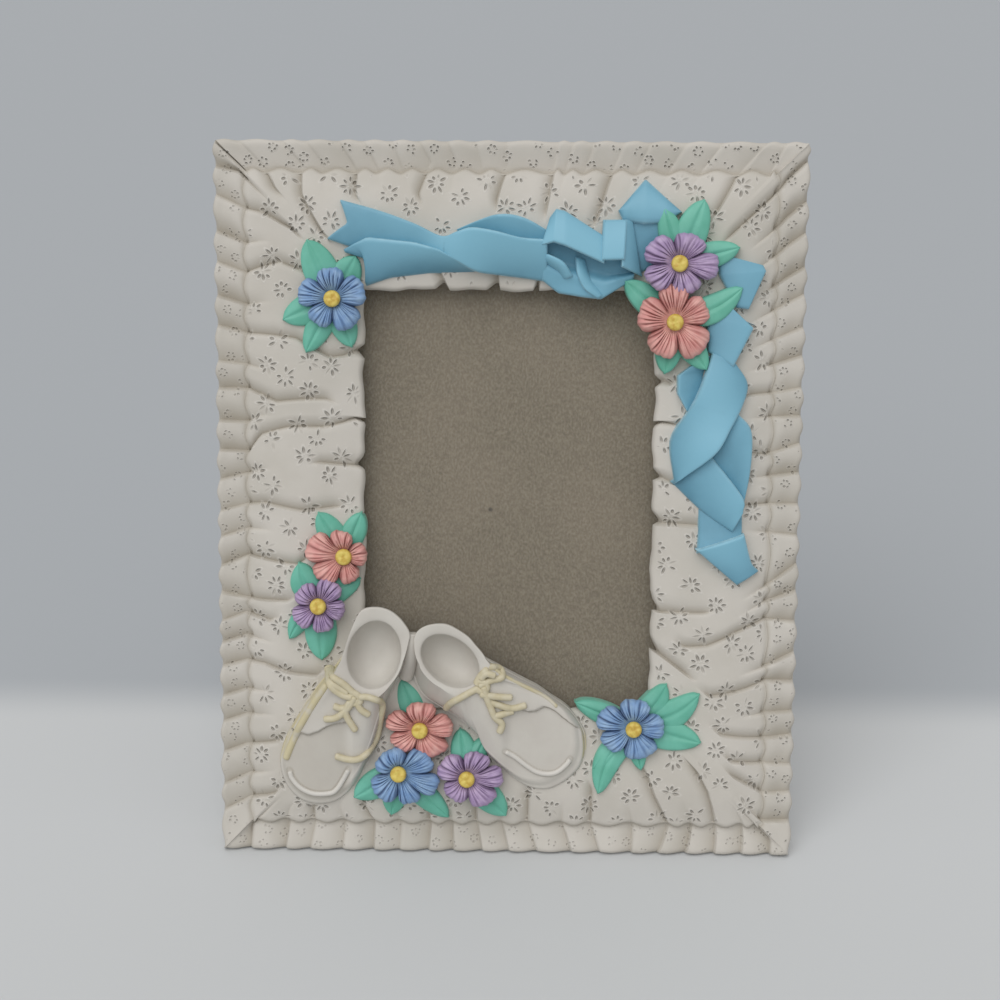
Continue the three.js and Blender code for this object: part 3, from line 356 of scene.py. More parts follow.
def span(tree, value, low, high, least=0.0, most=1.0):
    """Smoothly maps low..high of a value to least..most."""
    mapped = add(tree, "MapRange", {"interpolation_type": "SMOOTHSTEP"}, Value=value,
                 From_Min=low, From_Max=high, To_Min=least, To_Max=most)
    return mapped.outputs[0]


def kept(tree, label):
    """A value kept at the piece's points."""
    return add(tree, "Attribute", {"attribute_name": label}).outputs["Fac"]


def speckle(tree, size, detail=4.0):
    """Noise on Object coordinates whose lumps are about size metres across."""
    place = add(tree, "TexCoord").outputs["Object"]
    return add(tree, "TexNoise", Vector=place, Scale=1 / size, Detail=detail).outputs["Fac"]


def mottle(tree, size, low, high, first, second):
    """A colour that drifts between two, with noise of that size, as it goes from low to high."""
    return blend(tree, span(tree, speckle(tree, size), low, high), first, second)


def finish_of(name, roughness, **fixed):
    """A new Principled material, its tree and its shader, with the sockets that are the same all over set."""
    material = bpy.data.materials.new(name)
    material.use_nodes = True
    shader = material.node_tree.nodes["Principled BSDF"]
    shader.inputs["Roughness"].default_value = roughness
    for label, value in fixed.items():
        shader.inputs[label.replace("_", " ")].default_value = value
    return material, material.node_tree, shader


def coat(tree, shader, colour, height=None, distance=0.0, strength=1.0):
    """Gives a shader its colour and, from a height whose full range is that distance in metres, its bump."""
    tree.links.new(colour, shader.inputs["Base Color"])
    if height is not None:
        bump = add(tree, "Bump", Height=height, Distance=distance, Strength=strength)
        tree.links.new(bump.outputs[0], shader.inputs["Normal"])


def eyelets(tree, spacing, strokes, middle, half_length, half_width, kept_share, turn):
    """Pits of eyelet lace: round the points of a loose square grid stand strokes like a flower's petals, each
    an ellipse along its ray, some left out. Gives 1 in a pit and, beside it, 1 on its raised rim. Sizes are
    in millimetres."""
    place = add(tree, "TexCoord").outputs["Object"]
    flat = add(tree, "Mapping", Vector=place, Scale=(1000 / spacing,) * 3,
               Rotation=(lean - math.pi / 2, 0, turn)).outputs[0]
    cells = add(tree, "TexVoronoi", {"voronoi_dimensions": "2D"}, Vector=flat, Scale=1.0, Randomness=0.5)
    offset = add(tree, "VectorMath", {"operation": "SUBTRACT"}, i0=flat, i1=cells.outputs["Position"])
    parts = add(tree, "SeparateXYZ", i0=offset.outputs[0])
    across, up = (times(tree, part, spacing) for part in parts.outputs[:2])
    far = hypot(tree, across, up)
    seed = add(tree, "SeparateXYZ", i0=cells.outputs["Color"]).outputs[0]
    turns = calc(tree, "DIVIDE", calc(tree, "ARCTAN2", up, across), math.tau)
    steps = times(tree, calc(tree, "ADD", turns, seed), float(strokes))
    nearest = calc(tree, "ROUND", steps)
    angle = times(tree, calc(tree, "SUBTRACT", steps, nearest), math.tau / strokes)
    which = calc(tree, "MODULO", calc(tree, "ADD", nearest, float(strokes)), float(strokes))
    noise = add(tree, "TexWhiteNoise", {"noise_dimensions": "2D"},
                Vector=add(tree, "CombineXYZ", i0=seed, i1=which).outputs[0])
    draws = add(tree, "SeparateXYZ", i0=noise.outputs[1]).outputs
    length = span(tree, draws[0], 0, 1, .6 * half_length, 1.25 * half_length)
    width = span(tree, draws[1], 0, 1, .7 * half_width, 1.25 * half_width)
    reach = span(tree, draws[2], 0, 1, .8 * middle, 1.15 * middle)
    aside = times(tree, far, calc(tree, "SINE", angle))
    ahead = calc(tree, "SUBTRACT", times(tree, far, calc(tree, "COSINE", angle)), reach)
    edge = hypot(tree, calc(tree, "DIVIDE", aside, width), calc(tree, "DIVIDE", ahead, length))
    present = span(tree, noise.outputs[0], kept_share, kept_share - .25)
    pit = span(tree, edge, 1.15, .2)
    rim = times(tree, span(tree, edge, 2, 1.4), span(tree, edge, .95, 1.3))
    return times(tree, pit, present), times(tree, rim, present)


resin, tree, shader = finish_of("cream_resin", .72)
flowers = eyelets(tree, 8.5, 8, 1.85, .98, .35, .9, math.radians(38))
dots = eyelets(tree, 5.4, 6, 1.08, .37, .35, .92, math.radians(17))
pits, rims = (calc(tree, "MAXIMUM", times(tree, flower, kept(tree, "on_panel")),
                   times(tree, dot, kept(tree, "on_band")))
              for flower, dot in zip(flowers, dots))
cream_coat = mottle(tree, .02, .35, .65, (187, 182, 173), (195, 190, 182))
# Yellowish in the folds and at the seam, darker where they are deeper: the wash and painted shade in the
# folds
washed = blend(tree, times(tree, kept(tree, "wash"), .6), cream_coat, (160, 152, 137))
# Paler on the raised rims beside the pits: a painted highlight
rim_highlighted = blend(tree, times(tree, rims, .5), washed, (206, 202, 195))
# Darker in the pits: dust, and painted shade inside them that their bump alone does not give
pit_dust_and_shade = blend(tree, times(tree, pits, .46), rim_highlighted, (118, 108, 94))
grained = calc(tree, "SUBTRACT", times(tree, speckle(tree, .0009, 2.0), .05), pits)
coat(tree, shader, pit_dust_and_shade, calc(tree, "ADD", grained, times(tree, rims, .12)), .0005)
build("resin_casting", border_points, grid_faces(*border_wash.shape, around=True, over=True), resin, "resin",
      ["resin_frame"], wash=border_wash, on_panel=on_panel[:, None] * np.ones_like(dotted),
      on_band=on_band[:, None] * dotted)


# The ribbon: a twisted satin ribbon in relief, in lengths between its folds, bonded on and painted light
# blue. Its edges are rounded by the casting and the paint has worn paler along them.
ribbon_edge = 0.45
roll_places = np.array([-1, -1, -.75, -.2, .5])
to_back = 9
roll_drops = np.array([to_back, 1.6, .5, .12, .02])
bedding = 1.6
overhang_back = 8.3
least_span = 4


def curve(points, share):
    """A Catmull-Rom line through points, by share of the way along it; past its ends it goes on straight."""
    points = np.asarray(points, float)
    spans = len(points) - 1
    place = np.clip(share, 0, 1) * spans
    start = np.minimum(place.astype(int), spans - 1)
    part = (place - start)[..., None]
    ends = np.vstack([2 * points[0] - points[1], points, 2 * points[-1] - points[-2]])
    before, first, second, after = (ends[start + step] for step in range(4))
    inside = first + .5 * part * (second - before + part * (
        2 * before - 5 * first + 4 * second - after + part * (3 * (first - second) + after - before)))
    low, high = np.minimum(share, 0)[..., None], np.maximum(share - 1, 0)[..., None]
    return inside + spans * (low * (points[1] - points[0]) + high * (points[-1] - points[-2]))


def jointed(points, share):
    """A line straight from point to point, by share of the way along it, straight on past its ends."""
    points = np.asarray(points, float)
    spans = len(points) - 1
    start = np.clip((share * spans).astype(int), 0, spans - 1)
    return points[start] + (share * spans - start)[..., None] * (points[start + 1] - points[start])


def inset_at(x, y):
    """How far in from the border's edge a place on the face lies, in the border's mitred measure."""
    (left, bottom), (right, top) = outer_corners[0], outer_corners[2]
    upright = np.minimum(x - left, right - x)
    level = np.minimum((y - bottom) * border_width / border_bottom, (top - y) * border_width / border_top)
    return np.minimum(upright, level)


def panel_at(x, y):
    """The panel's height without gathers at a place on the face."""
    return panel_rise(inset_at(x, y))


def ornament_back(x, y):
    """The hidden back of an ornament: just under the panel, and level where it overhangs the window."""
    return np.where(inset_at(x, y) > panel_end, overhang_back, panel_at(x, y) - bedding)


def edged(count, length):
    """Shares from 0 to 1 with extra steps that round both edges, and how far each of those steps drops."""
    reach = roll_places * ribbon_edge / length
    inner = np.linspace(0, 1, count)[1:-1]
    shares = np.concatenate([reach, inner, 1 - reach[::-1]])
    falls = np.concatenate([roll_drops, np.zeros(count - 2), roll_drops[::-1]])
    return shares, falls


def slab(surface, long, wide, steps, back, joined=None):
    """A closed relief piece, with how worn its edges are: surface gives face points for shares along and
    across, its edges roll down to the back, and a second grid at the back's height closes it. The end, 0 or
    1, that is joined to the next piece has no roll."""
    along, along_fall = edged(steps[0], long)
    across, across_fall = edged(steps[1], wide)
    if joined is not None:
        roll = len(roll_drops)
        along_fall[slice(1, roll) if joined == 0 else slice(-roll, -1)] = 0
    u, v = np.meshgrid(along, across, indexing="ij")
    fall = np.maximum(along_fall[:, None], across_fall[None, :])
    front = surface(u, v)
    floor = np.minimum(back(front[..., 0], front[..., 1]), front[..., 2])
    front[..., 2] = np.where(fall == to_back, floor, np.maximum(front[..., 2] - fall, floor))
    rear = front.copy()
    rear[..., 2] = floor
    faces = grid_faces(*u.shape)
    points = np.concatenate([front.reshape(-1, 3), rear.reshape(-1, 3)])
    worn = np.clip(fall, 0, 1).ravel()
    return points, np.concatenate([faces, faces[:, ::-1] + u.size]), np.concatenate([worn, worn])


def gathered(pieces):
    """Several closed pieces as the points, the faces and, where they have them, the values of one mesh."""
    points, faces, *values = zip(*pieces)
    starts = np.cumsum([0] + [len(part) for part in points])
    faces = np.concatenate([part + start for part, start in zip(faces, starts)])
    return np.concatenate(points), faces, *(np.concatenate(parts) for parts in values)


def ribbon_length(first, second, crown=.3, rail=jointed, notch=0, hollow=0, steps=(36, 18), part=(0, 1)):
    """A length of ribbon ruled between two edges, given as [x, y, rise off the panel], with a parabolic arch
    across it. Its near end may be notched, and the half by the first edge sunk to a hollow; part is the
    stretch built."""
    first, second = np.array(first, float), np.array(second, float)
    long = np.linalg.norm(np.diff((first + second) / 2, axis=0), axis=1).sum() * (part[1] - part[0])
    wide = np.linalg.norm(first - second, axis=1).mean()
    joined = 1 if part[1] < 1 else 0 if part[0] > 0 else None

    def surface(u, v):
        inside = np.clip(v, 0, 1)
        along = u + notch * (1 - np.abs(2 * inside - 1)) * (1 - u)
        along = part[0] + (part[1] - part[0]) * along
        near, far = rail(first, along), rail(second, along)
        point = near + (far - near) * v[..., None]
        arch = crown * 4 * inside * (1 - inside) - hollow * (1 - ease(inside, .5, .7))
        point[..., 2] += panel_at(point[..., 0], point[..., 1]) + arch
        return point

    return slab(surface, max(long, least_span), max(wide, least_span), steps, ornament_back, joined)


ribbon, tree, shader = finish_of("blue_ribbon_paint", .5)
# Darker the lower the ribbon lies off the panel, paler where it stands high: painted shade in its folds and
# hollows
hollow_dark = blend(tree, span(tree, kept(tree, "lift"), .4, 5.5), (84, 134, 156), (124, 178, 199))
shade = blend(tree, span(tree, speckle(tree, .012), .3, .7, 0, .35), hollow_dark, (122, 176, 198))
rubbed = times(tree, kept(tree, "worn"), times(tree, speckle(tree, .002), 1.5))
coat(tree, shader, blend(tree, rubbed, shade, (172, 207, 218)), speckle(tree, .0012, 3.0), .00006, .6)

# The edges of the two strips that are each built in two lengths, as [x, y, rise off the panel]
front_strip = [
    [(-46.5, 185.4, 2.6), (-36.2, 182.6, 3), (-26.5, 179.3, 3.2), (-19, 176.1, 3.8), (-14.5, 177.2, 5),
     (-10.4, 178.1, 5.7), (-4, 177.2, 6), (3, 175.5, 5.8), (10, 175, 5.2)],
    [(-50.2, 175.5, 1.8), (-42.4, 173.3, 1.6), (-28, 171.8, 2), (-19.5, 171.6, 4), (-14.8, 169.6, 4.8),
     (-9.5, 167, 4), (-3, 166, 2.6), (3.5, 165.2, 2.2), (10.1, 164.3, 2.2)],
]
side_band = [
    [(56.8, 144.2, 3), (55.2, 138.4, 4), (53, 132.3, 4.2), (50.2, 127.2, 3.4), (46, 119.4, 2.4),
     (46.9, 108, 2)],
    [(62.6, 142.2, 2.2), (66.2, 136.2, 2.4), (65, 130.4, 3.4), (61.6, 123.7, 4.8), (57.4, 116.6, 5.6),
     (48.6, 108.8, 3.2)],
]
ribbon_lengths = {
    "swallowtail": [ribbon_length(*front_strip, .2, curve, notch=.13, part=(0, .4))],
    "lower_tail": [
        ribbon_length([(-46, 172.4, 2.4), (-43.1, 173.7, 3.2), (-39.5, 175, 4), (-26.7, 173.9, 4.8),
                       (-20, 172.3, 5.2), (-15.2, 170, 4.8), (-10.4, 167.3, 3.6)],
                      [(-45.5, 171.5, 2), (-39.8, 169.8, 1.8), (-40.5, 162.9, 1.4), (-32.9, 165.1, 1),
                       (-21.4, 166.3, .5), (-15.2, 166.3, .3), (-10, 166.4, .3)]),
    ],
    "run": [
        ribbon_length([(-14.3, 178.1, 3), (-9.6, 180, 3.4), (-4.4, 181.6, 3.6), (.3, 181.7, 3.6),
                       (5, 180.4, 3.2), (9.7, 178, 2.6)],
                      [(-13.3, 176.2, 1.6), (-9.4, 176.3, 1.4), (-4.4, 175.5, 1.2), (.3, 174.4, 1.2),
                       (5, 173.3, 1.2), (10, 172.8, 1.2)], 0, curve),
        ribbon_length(*front_strip, .2, curve, part=(.4, 1)),
    ],
    "bow": [
        ribbon_length([(9.2, 177.6, 3.2), (15.3, 177.4, 3.4), (22.2, 174.8, 3.4), (28.3, 172.4, 3.4),
                       (34.6, 169, 3.2)],
                      [(9.3, 164.4, 2.8), (13.6, 161.2, 3), (21, 160, 3.2), (25.7, 159.5, 3.2),
                       (34, 164.4, 2.6)], .3, hollow=2.8),
        ribbon_length([(11, 181.3, 3), (12.7, 183.4, 3.6), (15.1, 182.9, 3.8), (25.9, 176.2, 4)],
                      [(9, 174.2, 5.4), (12.1, 175.1, 6.4), (15.2, 174.2, 6.8), (25.4, 169.6, 6.4)], .2),
        ribbon_length([(26.1, 180.5, 3.6), (31.9, 180.6, 4)], [(25.7, 170.2, 6.8), (31.3, 170.4, 7)], .2),
        ribbon_length([(31.7, 180.7, 4), (33.8, 180.5, 2.6)], [(31.3, 168.3, 6.4), (36.4, 166, 2.6)], 0),
        ribbon_length([(33.1, 180.8, 1.8), (38.6, 180.6, 1.8), (45, 180.4, 1.8)],
                      [(36.2, 166.7, 1), (40.3, 169.2, 1.2), (45, 171, 1.2)], .1),
        ribbon_length([(9, 171.6, 3.4), (11.4, 170.9, 5), (14.9, 169, 5.4), (17.2, 165.6, 4.2)],
                      [(9.2, 169.6, 2.6), (11.3, 168.4, 3.6), (13.7, 166.8, 4), (15, 164.6, 3.4)],
                      .5, curve, steps=(24, 10)),
        ribbon_length([(18.4, 170.4, 2.4), (19, 166, 4.6), (21, 162, 4.8), (24.4, 159.4, 3.8)],
                      [(20.8, 169.8, 1.6), (21.8, 166, 3), (23.8, 163, 3.4), (26, 160.4, 3.2)],
                      .4, curve, steps=(24, 10)),
    ],
    "upper_loop": [
        ribbon_length([(30, 183.3, 2.4), (31.4, 181.3, 3), (37.1, 180.7, 3.6), (43.2, 180.7, 3.2),
                       (46.8, 182.9, 2.2)],
                      [(30.3, 183.9, 2.4), (33.5, 187.4, 2.8), (37.3, 191.2, 2.8), (43.1, 186.4, 3),
                       (47.1, 183.4, 2.2)], .6),
    ],
    "right_loop_upper": [
        ribbon_length([(58, 171.6, 2), (58.6, 166, 2.4), (63, 157.6, 2.2)],
                      [(69.7, 168.8, 3.2), (70.5, 167.1, 3.6), (66.5, 157.3, 3)], .2),
    ],
    "right_loop_lower": [
        ribbon_length([(58.6, 158.1, 2), (55.6, 154.2, 2.2), (55.8, 145, 2.2)],
                      [(60.5, 158, 3), (67.2, 151.6, 4), (62.3, 141.3, 3.4)], .2),
        ribbon_length([(61.5, 156.4, 1.4), (64.4, 153.8, 1.2)], [(65.3, 153.1, 1.2), (68, 152.4, 1.2)], 0,
                      steps=(10, 8)),
    ],
    "side_upper": [
        ribbon_length([(50.5, 140.5, 2.8), (47.6, 138, 3.2), (47.6, 133, 3.2), (49.9, 128.4, 2.8)],
                      [(55.7, 143.1, 2), (54.2, 139.1, .6), (53.6, 134, .2), (52, 128.9, .4)], .1),
        ribbon_length(*side_band, .4, curve, part=(0, .5)),
    ],
    "side_middle": [
        ribbon_length([(59.8, 122.7, 1.2), (56.1, 115, .8), (61.3, 110, .8), (65, 103.2, 1)],
                      [(63.8, 127.5, 2.6), (67.4, 122.2, 3.2), (67.7, 112.1, 3.2), (66.1, 100.4, 2)],
                      .1, curve),
        ribbon_length([(46.7, 107.8, .6), (55.3, 99.8, 1.4), (63.1, 94.6, 2.8)],
                      [(56.6, 115.2, 2.4), (65.3, 104.2, 4.4), (66, 99.8, 4)], .3, curve),
        ribbon_length(*side_band, .4, curve, part=(.5, 1)),
    ],
    "side_end": [
        ribbon_length([(54.2, 99.9, .6), (54.3, 94.5, 1.4), (54, 88.4, 2.4)],
                      [(65.8, 100.5, .6), (65.8, 96.1, 1.4), (65.7, 92, 2.4)], .3),
        ribbon_length([(54, 88.9, 4.2), (59.4, 84, 2.8), (65, 79.2, 1.8)],
                      [(66.2, 93, 4.4), (68.6, 85.4, 3), (70.9, 82.7, 1.8)], .5, curve),
    ],
}
for name, lengths in ribbon_lengths.items():
    points, faces, worn = gathered(lengths)
    lift = points[:, 2] - panel_at(points[:, 0], points[:, 1])
    build(f"ribbon_{name}_relief", points, faces, ribbon, "ribbon_blue", [f"ribbon_{name}"],
          worn=worn, lift=lift)


# The leaf sprays: flat pointed leaves with a vein pressed in, fanned out from under each flower.
# They are thin resin castings, painted mint green and glued to the panel.
flower_places = {
    "blue_top_left": (-49.25, 158.8), "purple_top_right": (46.75, 169.1), "pink_top_right": (45.85, 153),
    "pink_left": (-46.45, 86.1), "purple_left": (-53.65, 72), "pink_bottom": (-24.85, 35.8),
    "blue_bottom": (-30.85, 23.4), "purple_bottom": (-11.25, 22.1), "blue_bottom_right": (36.45, 36.8),
}
spray_lifts = {"top_left": .4, "top_right": 2.6, "left": .4, "bottom": .4, "bottom_right": .4}
# Each spray's leaves, by the flower that they fan out from: bearing in degrees, reach, width and bend
spray_leaves = {
    "top_left": {
        "blue_top_left": [(114, 17.4, 8, 0), (62, 13.2, 7, 0), (203, 15, 7, 0), (243, 16.6, 6, 0),
                          (290, 14.2, 6, 0)]},
    "top_right": {
        "purple_top_right": [(106, 15.6, 5.5, 0), (69, 18.4, 7.5, 0), (15, 17, 6, 0)],
        "pink_top_right": [(27, 20.6, 6.5, -1.5), (141, 17.4, 6.6, 0), (261, 14.4, 6, 0), (305, 15.8, 6, 0)]},
    "left": {
        "pink_left": [(121, 14.1, 6, 0), (69, 12.8, 5.5, 0)],
        "purple_left": [(116, 13, 7, 1), (32, 13.2, 6.5, 1), (229, 13, 4.5, -1), (272, 16, 7.5, 0)]},
    "bottom": {
        "pink_bottom": [(112, 14.8, 6, 0)],
        "purple_bottom": [(99, 13.4, 6, 0), (66, 12, 4.5, 0), (313, 16.3, 7, 0)],
        "blue_bottom": [(212, 15.2, 7, 0), (260, 13.6, 6, 0), (315, 19.8, 6, 0)]},
    "bottom_right": {
        "blue_bottom_right": [(158, 17.8, 5, 0), (53, 15.4, 6, -1), (28, 21, 7, -2), (348, 19.6, 7.5, 0),
                              (227, 16.3, 5, 0), (243, 21.6, 6.5, -2), (281, 12.4, 4, 0)]},
}
leaf_root = 2.7
leaf_rise = 1.1
leaf_arch = .6
leaf_droop = .5
vein_depth, vein_width = .5, .16
leaf_steps = (20, 19)


def axes(degrees):
    """The unit vector along a bearing on the face, and the one a quarter turn on from it."""
    angle = math.radians(degrees)
    return np.array([math.cos(angle), math.sin(angle)]), np.array([-math.sin(angle), math.cos(angle)])


def leaf(flower, lift, bearing, reach, width, bend):
    """A leaf along a bearing from its flower: its breadth swells as the root of a sine and ends in a point,
    it is arched, a groove runs down the middle and its tip droops by the square of the way along."""
    centre = np.array(flower_places[flower])
    ahead, aside = axes(bearing)

    def surface(u, v):
        inside = np.clip(u, 0, 1)
        swell = np.sin(math.pi * (.2 + .8 * np.minimum(inside, .998))) ** .5
        off = (v - .5) * 1.1 * width * np.maximum(swell, .05) + bend * np.sin(math.pi * inside)
        flat = centre + (leaf_root + (reach - leaf_root) * u)[..., None] * ahead + off[..., None] * aside
        half = np.abs(2 * np.clip(v, 0, 1) - 1)
        vein = vein_depth * np.exp(-(half / vein_width) ** 2) * np.sin(math.pi * (.1 + .8 * inside))
        arch = leaf_arch * (1 - half ** 2) - vein - leaf_droop * inside ** 2
        rise = panel_at(flat[..., 0], flat[..., 1]) + lift + leaf_rise + arch
        return np.concatenate([flat, rise[..., None]], axis=-1)

    return slab(surface, reach - leaf_root, width, leaf_steps, ornament_back)


green, tree, shader = finish_of("mint_leaf_paint", .5)
shade = mottle(tree, .006, .3, .7, (94, 170, 148), (106, 180, 160))
rubbed = times(tree, kept(tree, "worn"), times(tree, speckle(tree, .0015), .8))
coat(tree, shader, blend(tree, rubbed, shade, (150, 196, 178)))
for name, leaves in spray_leaves.items():
    points, faces, worn = gathered([leaf(flower, spray_lifts[name], *row)
                                    for flower, rows in leaves.items() for row in rows])
    build(f"leaves_{name}", points, faces, green, "leaf_green", [f"leaf_spray_{name}"], worn=worn)


# The flowers: five-petalled blossoms with radial creases pressed into each petal and a button in the middle.
# Each is a small casting glued over its leaves, with the paint thin in patches and dark in the creases.
leaf_stack = 2.2
# Each flower's colour, half width, half height and petals' bearings in degrees
flower_shapes = {
    "blue_top_left": ("blue", 9.0, 9.0, (15, 102, 164, 236, 305)),
    "purple_top_right": ("purple", 10.1, 8.9, (-6, 59, 150, 215, 289)),
    "pink_top_right": ("pink", 10.1, 10.7, (30, 90, 163, 242, 316)),
    "pink_left": ("pink", 8.3, 8.3, (5, 72, 145, 246, 310)),
    "purple_left": ("purple", 7.7, 7.7, (-13, 51, 140, 217, 285)),
    "pink_bottom": ("pink", 9.9, 7.9, (12, 90, 156, 214, 302)),
    "blue_bottom": ("blue", 9.5, 8.8, (-20, 38, 128, 223, 285)),
    "purple_bottom": ("purple", 9.2, 8.2, (5, 68, 149, 226, 307)),
    "blue_bottom_right": ("blue", 9.9, 8.5, (10, 77, 157, 216, 293)),
}
petal_shifts = {"blue_bottom_right": (-.8, 0), "pink_left": (-2.3, -.3), "blue_bottom": (1.6, -.8),
                "purple_bottom": (1, 0)}
petal_colours = {
    "blue": ((120, 153, 194), (143, 172, 203), (46, 64, 104)),
    "purple": ((164, 141, 178), (184, 163, 194), (80, 58, 90)),
    "pink": ((206, 144, 138), (220, 169, 160), (126, 64, 60)),
}
spray_of = {flower: spray for spray, leaves in spray_leaves.items() for flower in leaves}
petal_rings = np.array([0, .1, .2, .28, .36, .45, .54, .63, .72, .8, .87, .93, .97, 1, 1.01, 1, 0])
petal_heights = np.array([.7, .7, .8, 1.2, 1.9, 2.5, 2.95, 3.15, 3.2, 3.1, 2.9, 2.55, 2.1, 1.5, .8, 0, 0])
petal_notch = .32
crease_depth = .42
button_rings = np.array([0, .25, .5, .7, .85, .95, 1, 1, .9, 0])
button_heights = np.array([2.1, 2.1, 2.12, 2.1, 1.9, 1.5, 1, .5, .3, .3])
button_radius = 2.35
button_seat = 1.3
petal_rays, button_rays = 480, 32


def petal_back(flower):
    """The height of a flower's back, on top of its leaves."""
    return panel_at(*flower_places[flower]) + spray_lifts[spray_of[flower]] + leaf_stack


def blossom(flower, wide, high, bearings):
    """A flower as rings and rays, with how creased it is: the outline swells to a petal at each bearing and
    is notched midway between, the surface rises from a dish to the petals' crests, and creases run out along
    the rays, each with a place, width and reach drawn from sines of its number."""
    rays = np.linspace(0, math.tau, petal_rays, endpoint=False)
    marks = np.sort(np.radians(np.array(bearings)) % math.tau)
    around = np.concatenate([marks[-1:] - math.tau, marks, marks[:1] + math.tau])
    notches = (around[:-1] + around[1:]) / 2
    turned_on = (rays - notches[0]) % math.tau + notches[0]
    petal = np.clip(np.searchsorted(notches, turned_on, side="right") - 1, 0, len(marks) - 1)
    phase = 2 * (turned_on - notches[petal]) / (notches[petal + 1] - notches[petal]) - 1
    length = 1 + .07 * np.sin(2.7 * petal + wide)
    ruffle = .012 * np.sin(13 * rays + 3 * wide) + .01 * np.sin(31 * rays + 5 * high)
    lobes = length * (1 - petal_notch * np.abs(phase) ** 4.5) + ruffle
    share, ray = np.meshgrid(petal_rings, rays, indexing="ij")
    reach = share * (1 - ease(share, .2, .6) * (1 - lobes))
    folds = 4.2 * phase + .4 * np.sin(5 * rays + high) + .1
    first_draw = np.sin(37.3 * np.floor(folds) + 5 * petal + wide)
    second_draw = np.sin(71.9 * np.floor(folds) + 9 * petal + high)
    off = folds % 1 - .5 - .13 * np.sin(7 * share + 4 * first_draw) - .1 * second_draw
    start, end = .22 + .12 * first_draw, .76 + .2 * second_draw
    crease = np.exp(-(off / (.16 + .05 * second_draw)) ** 2)
    crease = crease * ease(share, start, start + .1) * (.8 + .3 * first_draw)
    crease = np.clip(crease * (1 - .8 * ease(share, end, end + .12)), 0, 1)
    gap = np.abs(phase) ** 6 * ease(share, .2, .5)
    swells = 1 + .05 * np.sin(2 * math.pi * folds) * ease(share, .3, .7) + .1 * np.sin(3 * ray + high)
    heights = petal_heights[:, None]
    rise = heights * swells * (1 - .52 * gap) - crease_depth * crease * (heights > 1)
    x, y = flower_places[flower]
    drift, sink = petal_shifts.get(flower, (0, 0))
    points = np.stack([x + wide * reach * np.cos(ray) + drift * share,
                       y + high * reach * np.sin(ray) + sink * share,
                       petal_back(flower) + np.maximum(rise, 0)], axis=-1)
    return points, np.maximum(crease, gap)


def button(flower):
    """A flower's button: rings and rays of a flattened dome with a few shallow dents."""
    share, ray = np.meshgrid(button_rings, np.linspace(0, math.tau, button_rays, endpoint=False),
                             indexing="ij")
    dent = .12 * np.sin(3 * ray + button_radius) * np.sin(math.pi * share)
    x, y = flower_places[flower]
    return np.stack([x + button_radius * share * np.cos(ray), y + button_radius * share * np.sin(ray),
                     petal_back(flower) + button_seat + button_heights[:, None] + dent], axis=-1)


def petal_paint(colour):
    """Petal paint: a coat mottled with paler, thinner patches, and darker in the creases and in the gaps
    between the petals.
    """
    full, thin, hollow_dark = petal_colours[colour]
    material, tree, shader = finish_of(f"{colour}_petal_paint", .55)
    mottled = mottle(tree, .003, .35, .7, full, thin)
    coat(tree, shader, blend(tree, times(tree, kept(tree, "crease"), .85), mottled, hollow_dark))
    return material


petal_paints = {colour: petal_paint(colour) for colour in petal_colours}
yellow, tree, shader = finish_of("yellow_button_paint", .5)
coat(tree, shader, mottle(tree, .0014, .4, .7, (212, 190, 96), (192, 158, 66)))
for flower, (colour, *shape) in flower_shapes.items():
    points, crease = blossom(flower, *shape)
    build(f"blossom_{flower}", points, grid_faces(*crease.shape, around=True), petal_paints[colour],
          f"petal_{colour}", [f"petals_{flower}"], crease=crease)
    points = button(flower)
    build(f"button_{flower}", points, grid_faces(*points.shape[:2], around=True), yellow, "centre_yellow",
          [f"centre_{flower}"])


# The shoes: a pair of soft baby lace-ups lying heel to heel, hollow at the mouth. The toe slopes up from a
# grooved welt to a bead round its flat cap, and a web and a bridge of resin join the heels. Each is one
# casting painted off-white; the piping on its side is cream, and that paint has run down the wall.
shoe_base = 12.2
sole_rise = 2.2
insole_rise = 1.8
throat_rise = 9.2
collar_drop = .8
overhang = 2.3
welt_out = .9
heel_rise = 1
toe_dip = .8
cap_drop = 1
slope_width = 5
collar_width, collar_gain = 2.4, 1.2
outline_count = 288
slope_rings, throat_rings, collar_rings = 26, 45, 8
shoe_outlines = {
    "left": [(-36.4, 73.3), (-40.6, 72.6), (-43, 69), (-44.6, 65), (-46.6, 58.6), (-49.4, 54), (-53.2, 49.6),
             (-57.2, 44.2), (-61, 38.4), (-64.2, 32.3), (-65.9, 25.6), (-64.5, 19), (-60.6, 14.2),
             (-55.6, 12.4), (-50.2, 13), (-46, 15.9), (-42.9, 20), (-40.6, 24.8), (-38.6, 30), (-36.3, 37.2),
             (-34, 44.2), (-31.4, 49.5), (-29.2, 53), (-27.4, 57.5), (-26.7, 62.2), (-26.9, 65.8),
             (-28.2, 68.1), (-30, 70.3), (-32.7, 72.3)],
    "right": [(-24.8, 66.9), (-26.3, 64.9), (-26.9, 60.5), (-27.1, 56.5), (-27, 52.3), (-25.8, 48.4),
              (-23.4, 45), (-18.9, 42), (-14.1, 39), (-10.3, 35.8), (-7.4, 32.6), (-5.2, 28.2), (-1.2, 24.2),
              (3.9, 19.9), (8, 18), (12.6, 17.7), (17.1, 19.8), (21.2, 23.6), (22.8, 27.3), (23.1, 31.3),
              (22.3, 36.1), (19.6, 41), (16, 44), (12.7, 46.6), (9.4, 48.5), (3.1, 52.1), (-3.8, 56.7),
              (-6.4, 60.2), (-8.6, 62.7), (-11, 65.3), (-15.9, 68.2), (-19, 68.7), (-22.3, 68.2)],
}
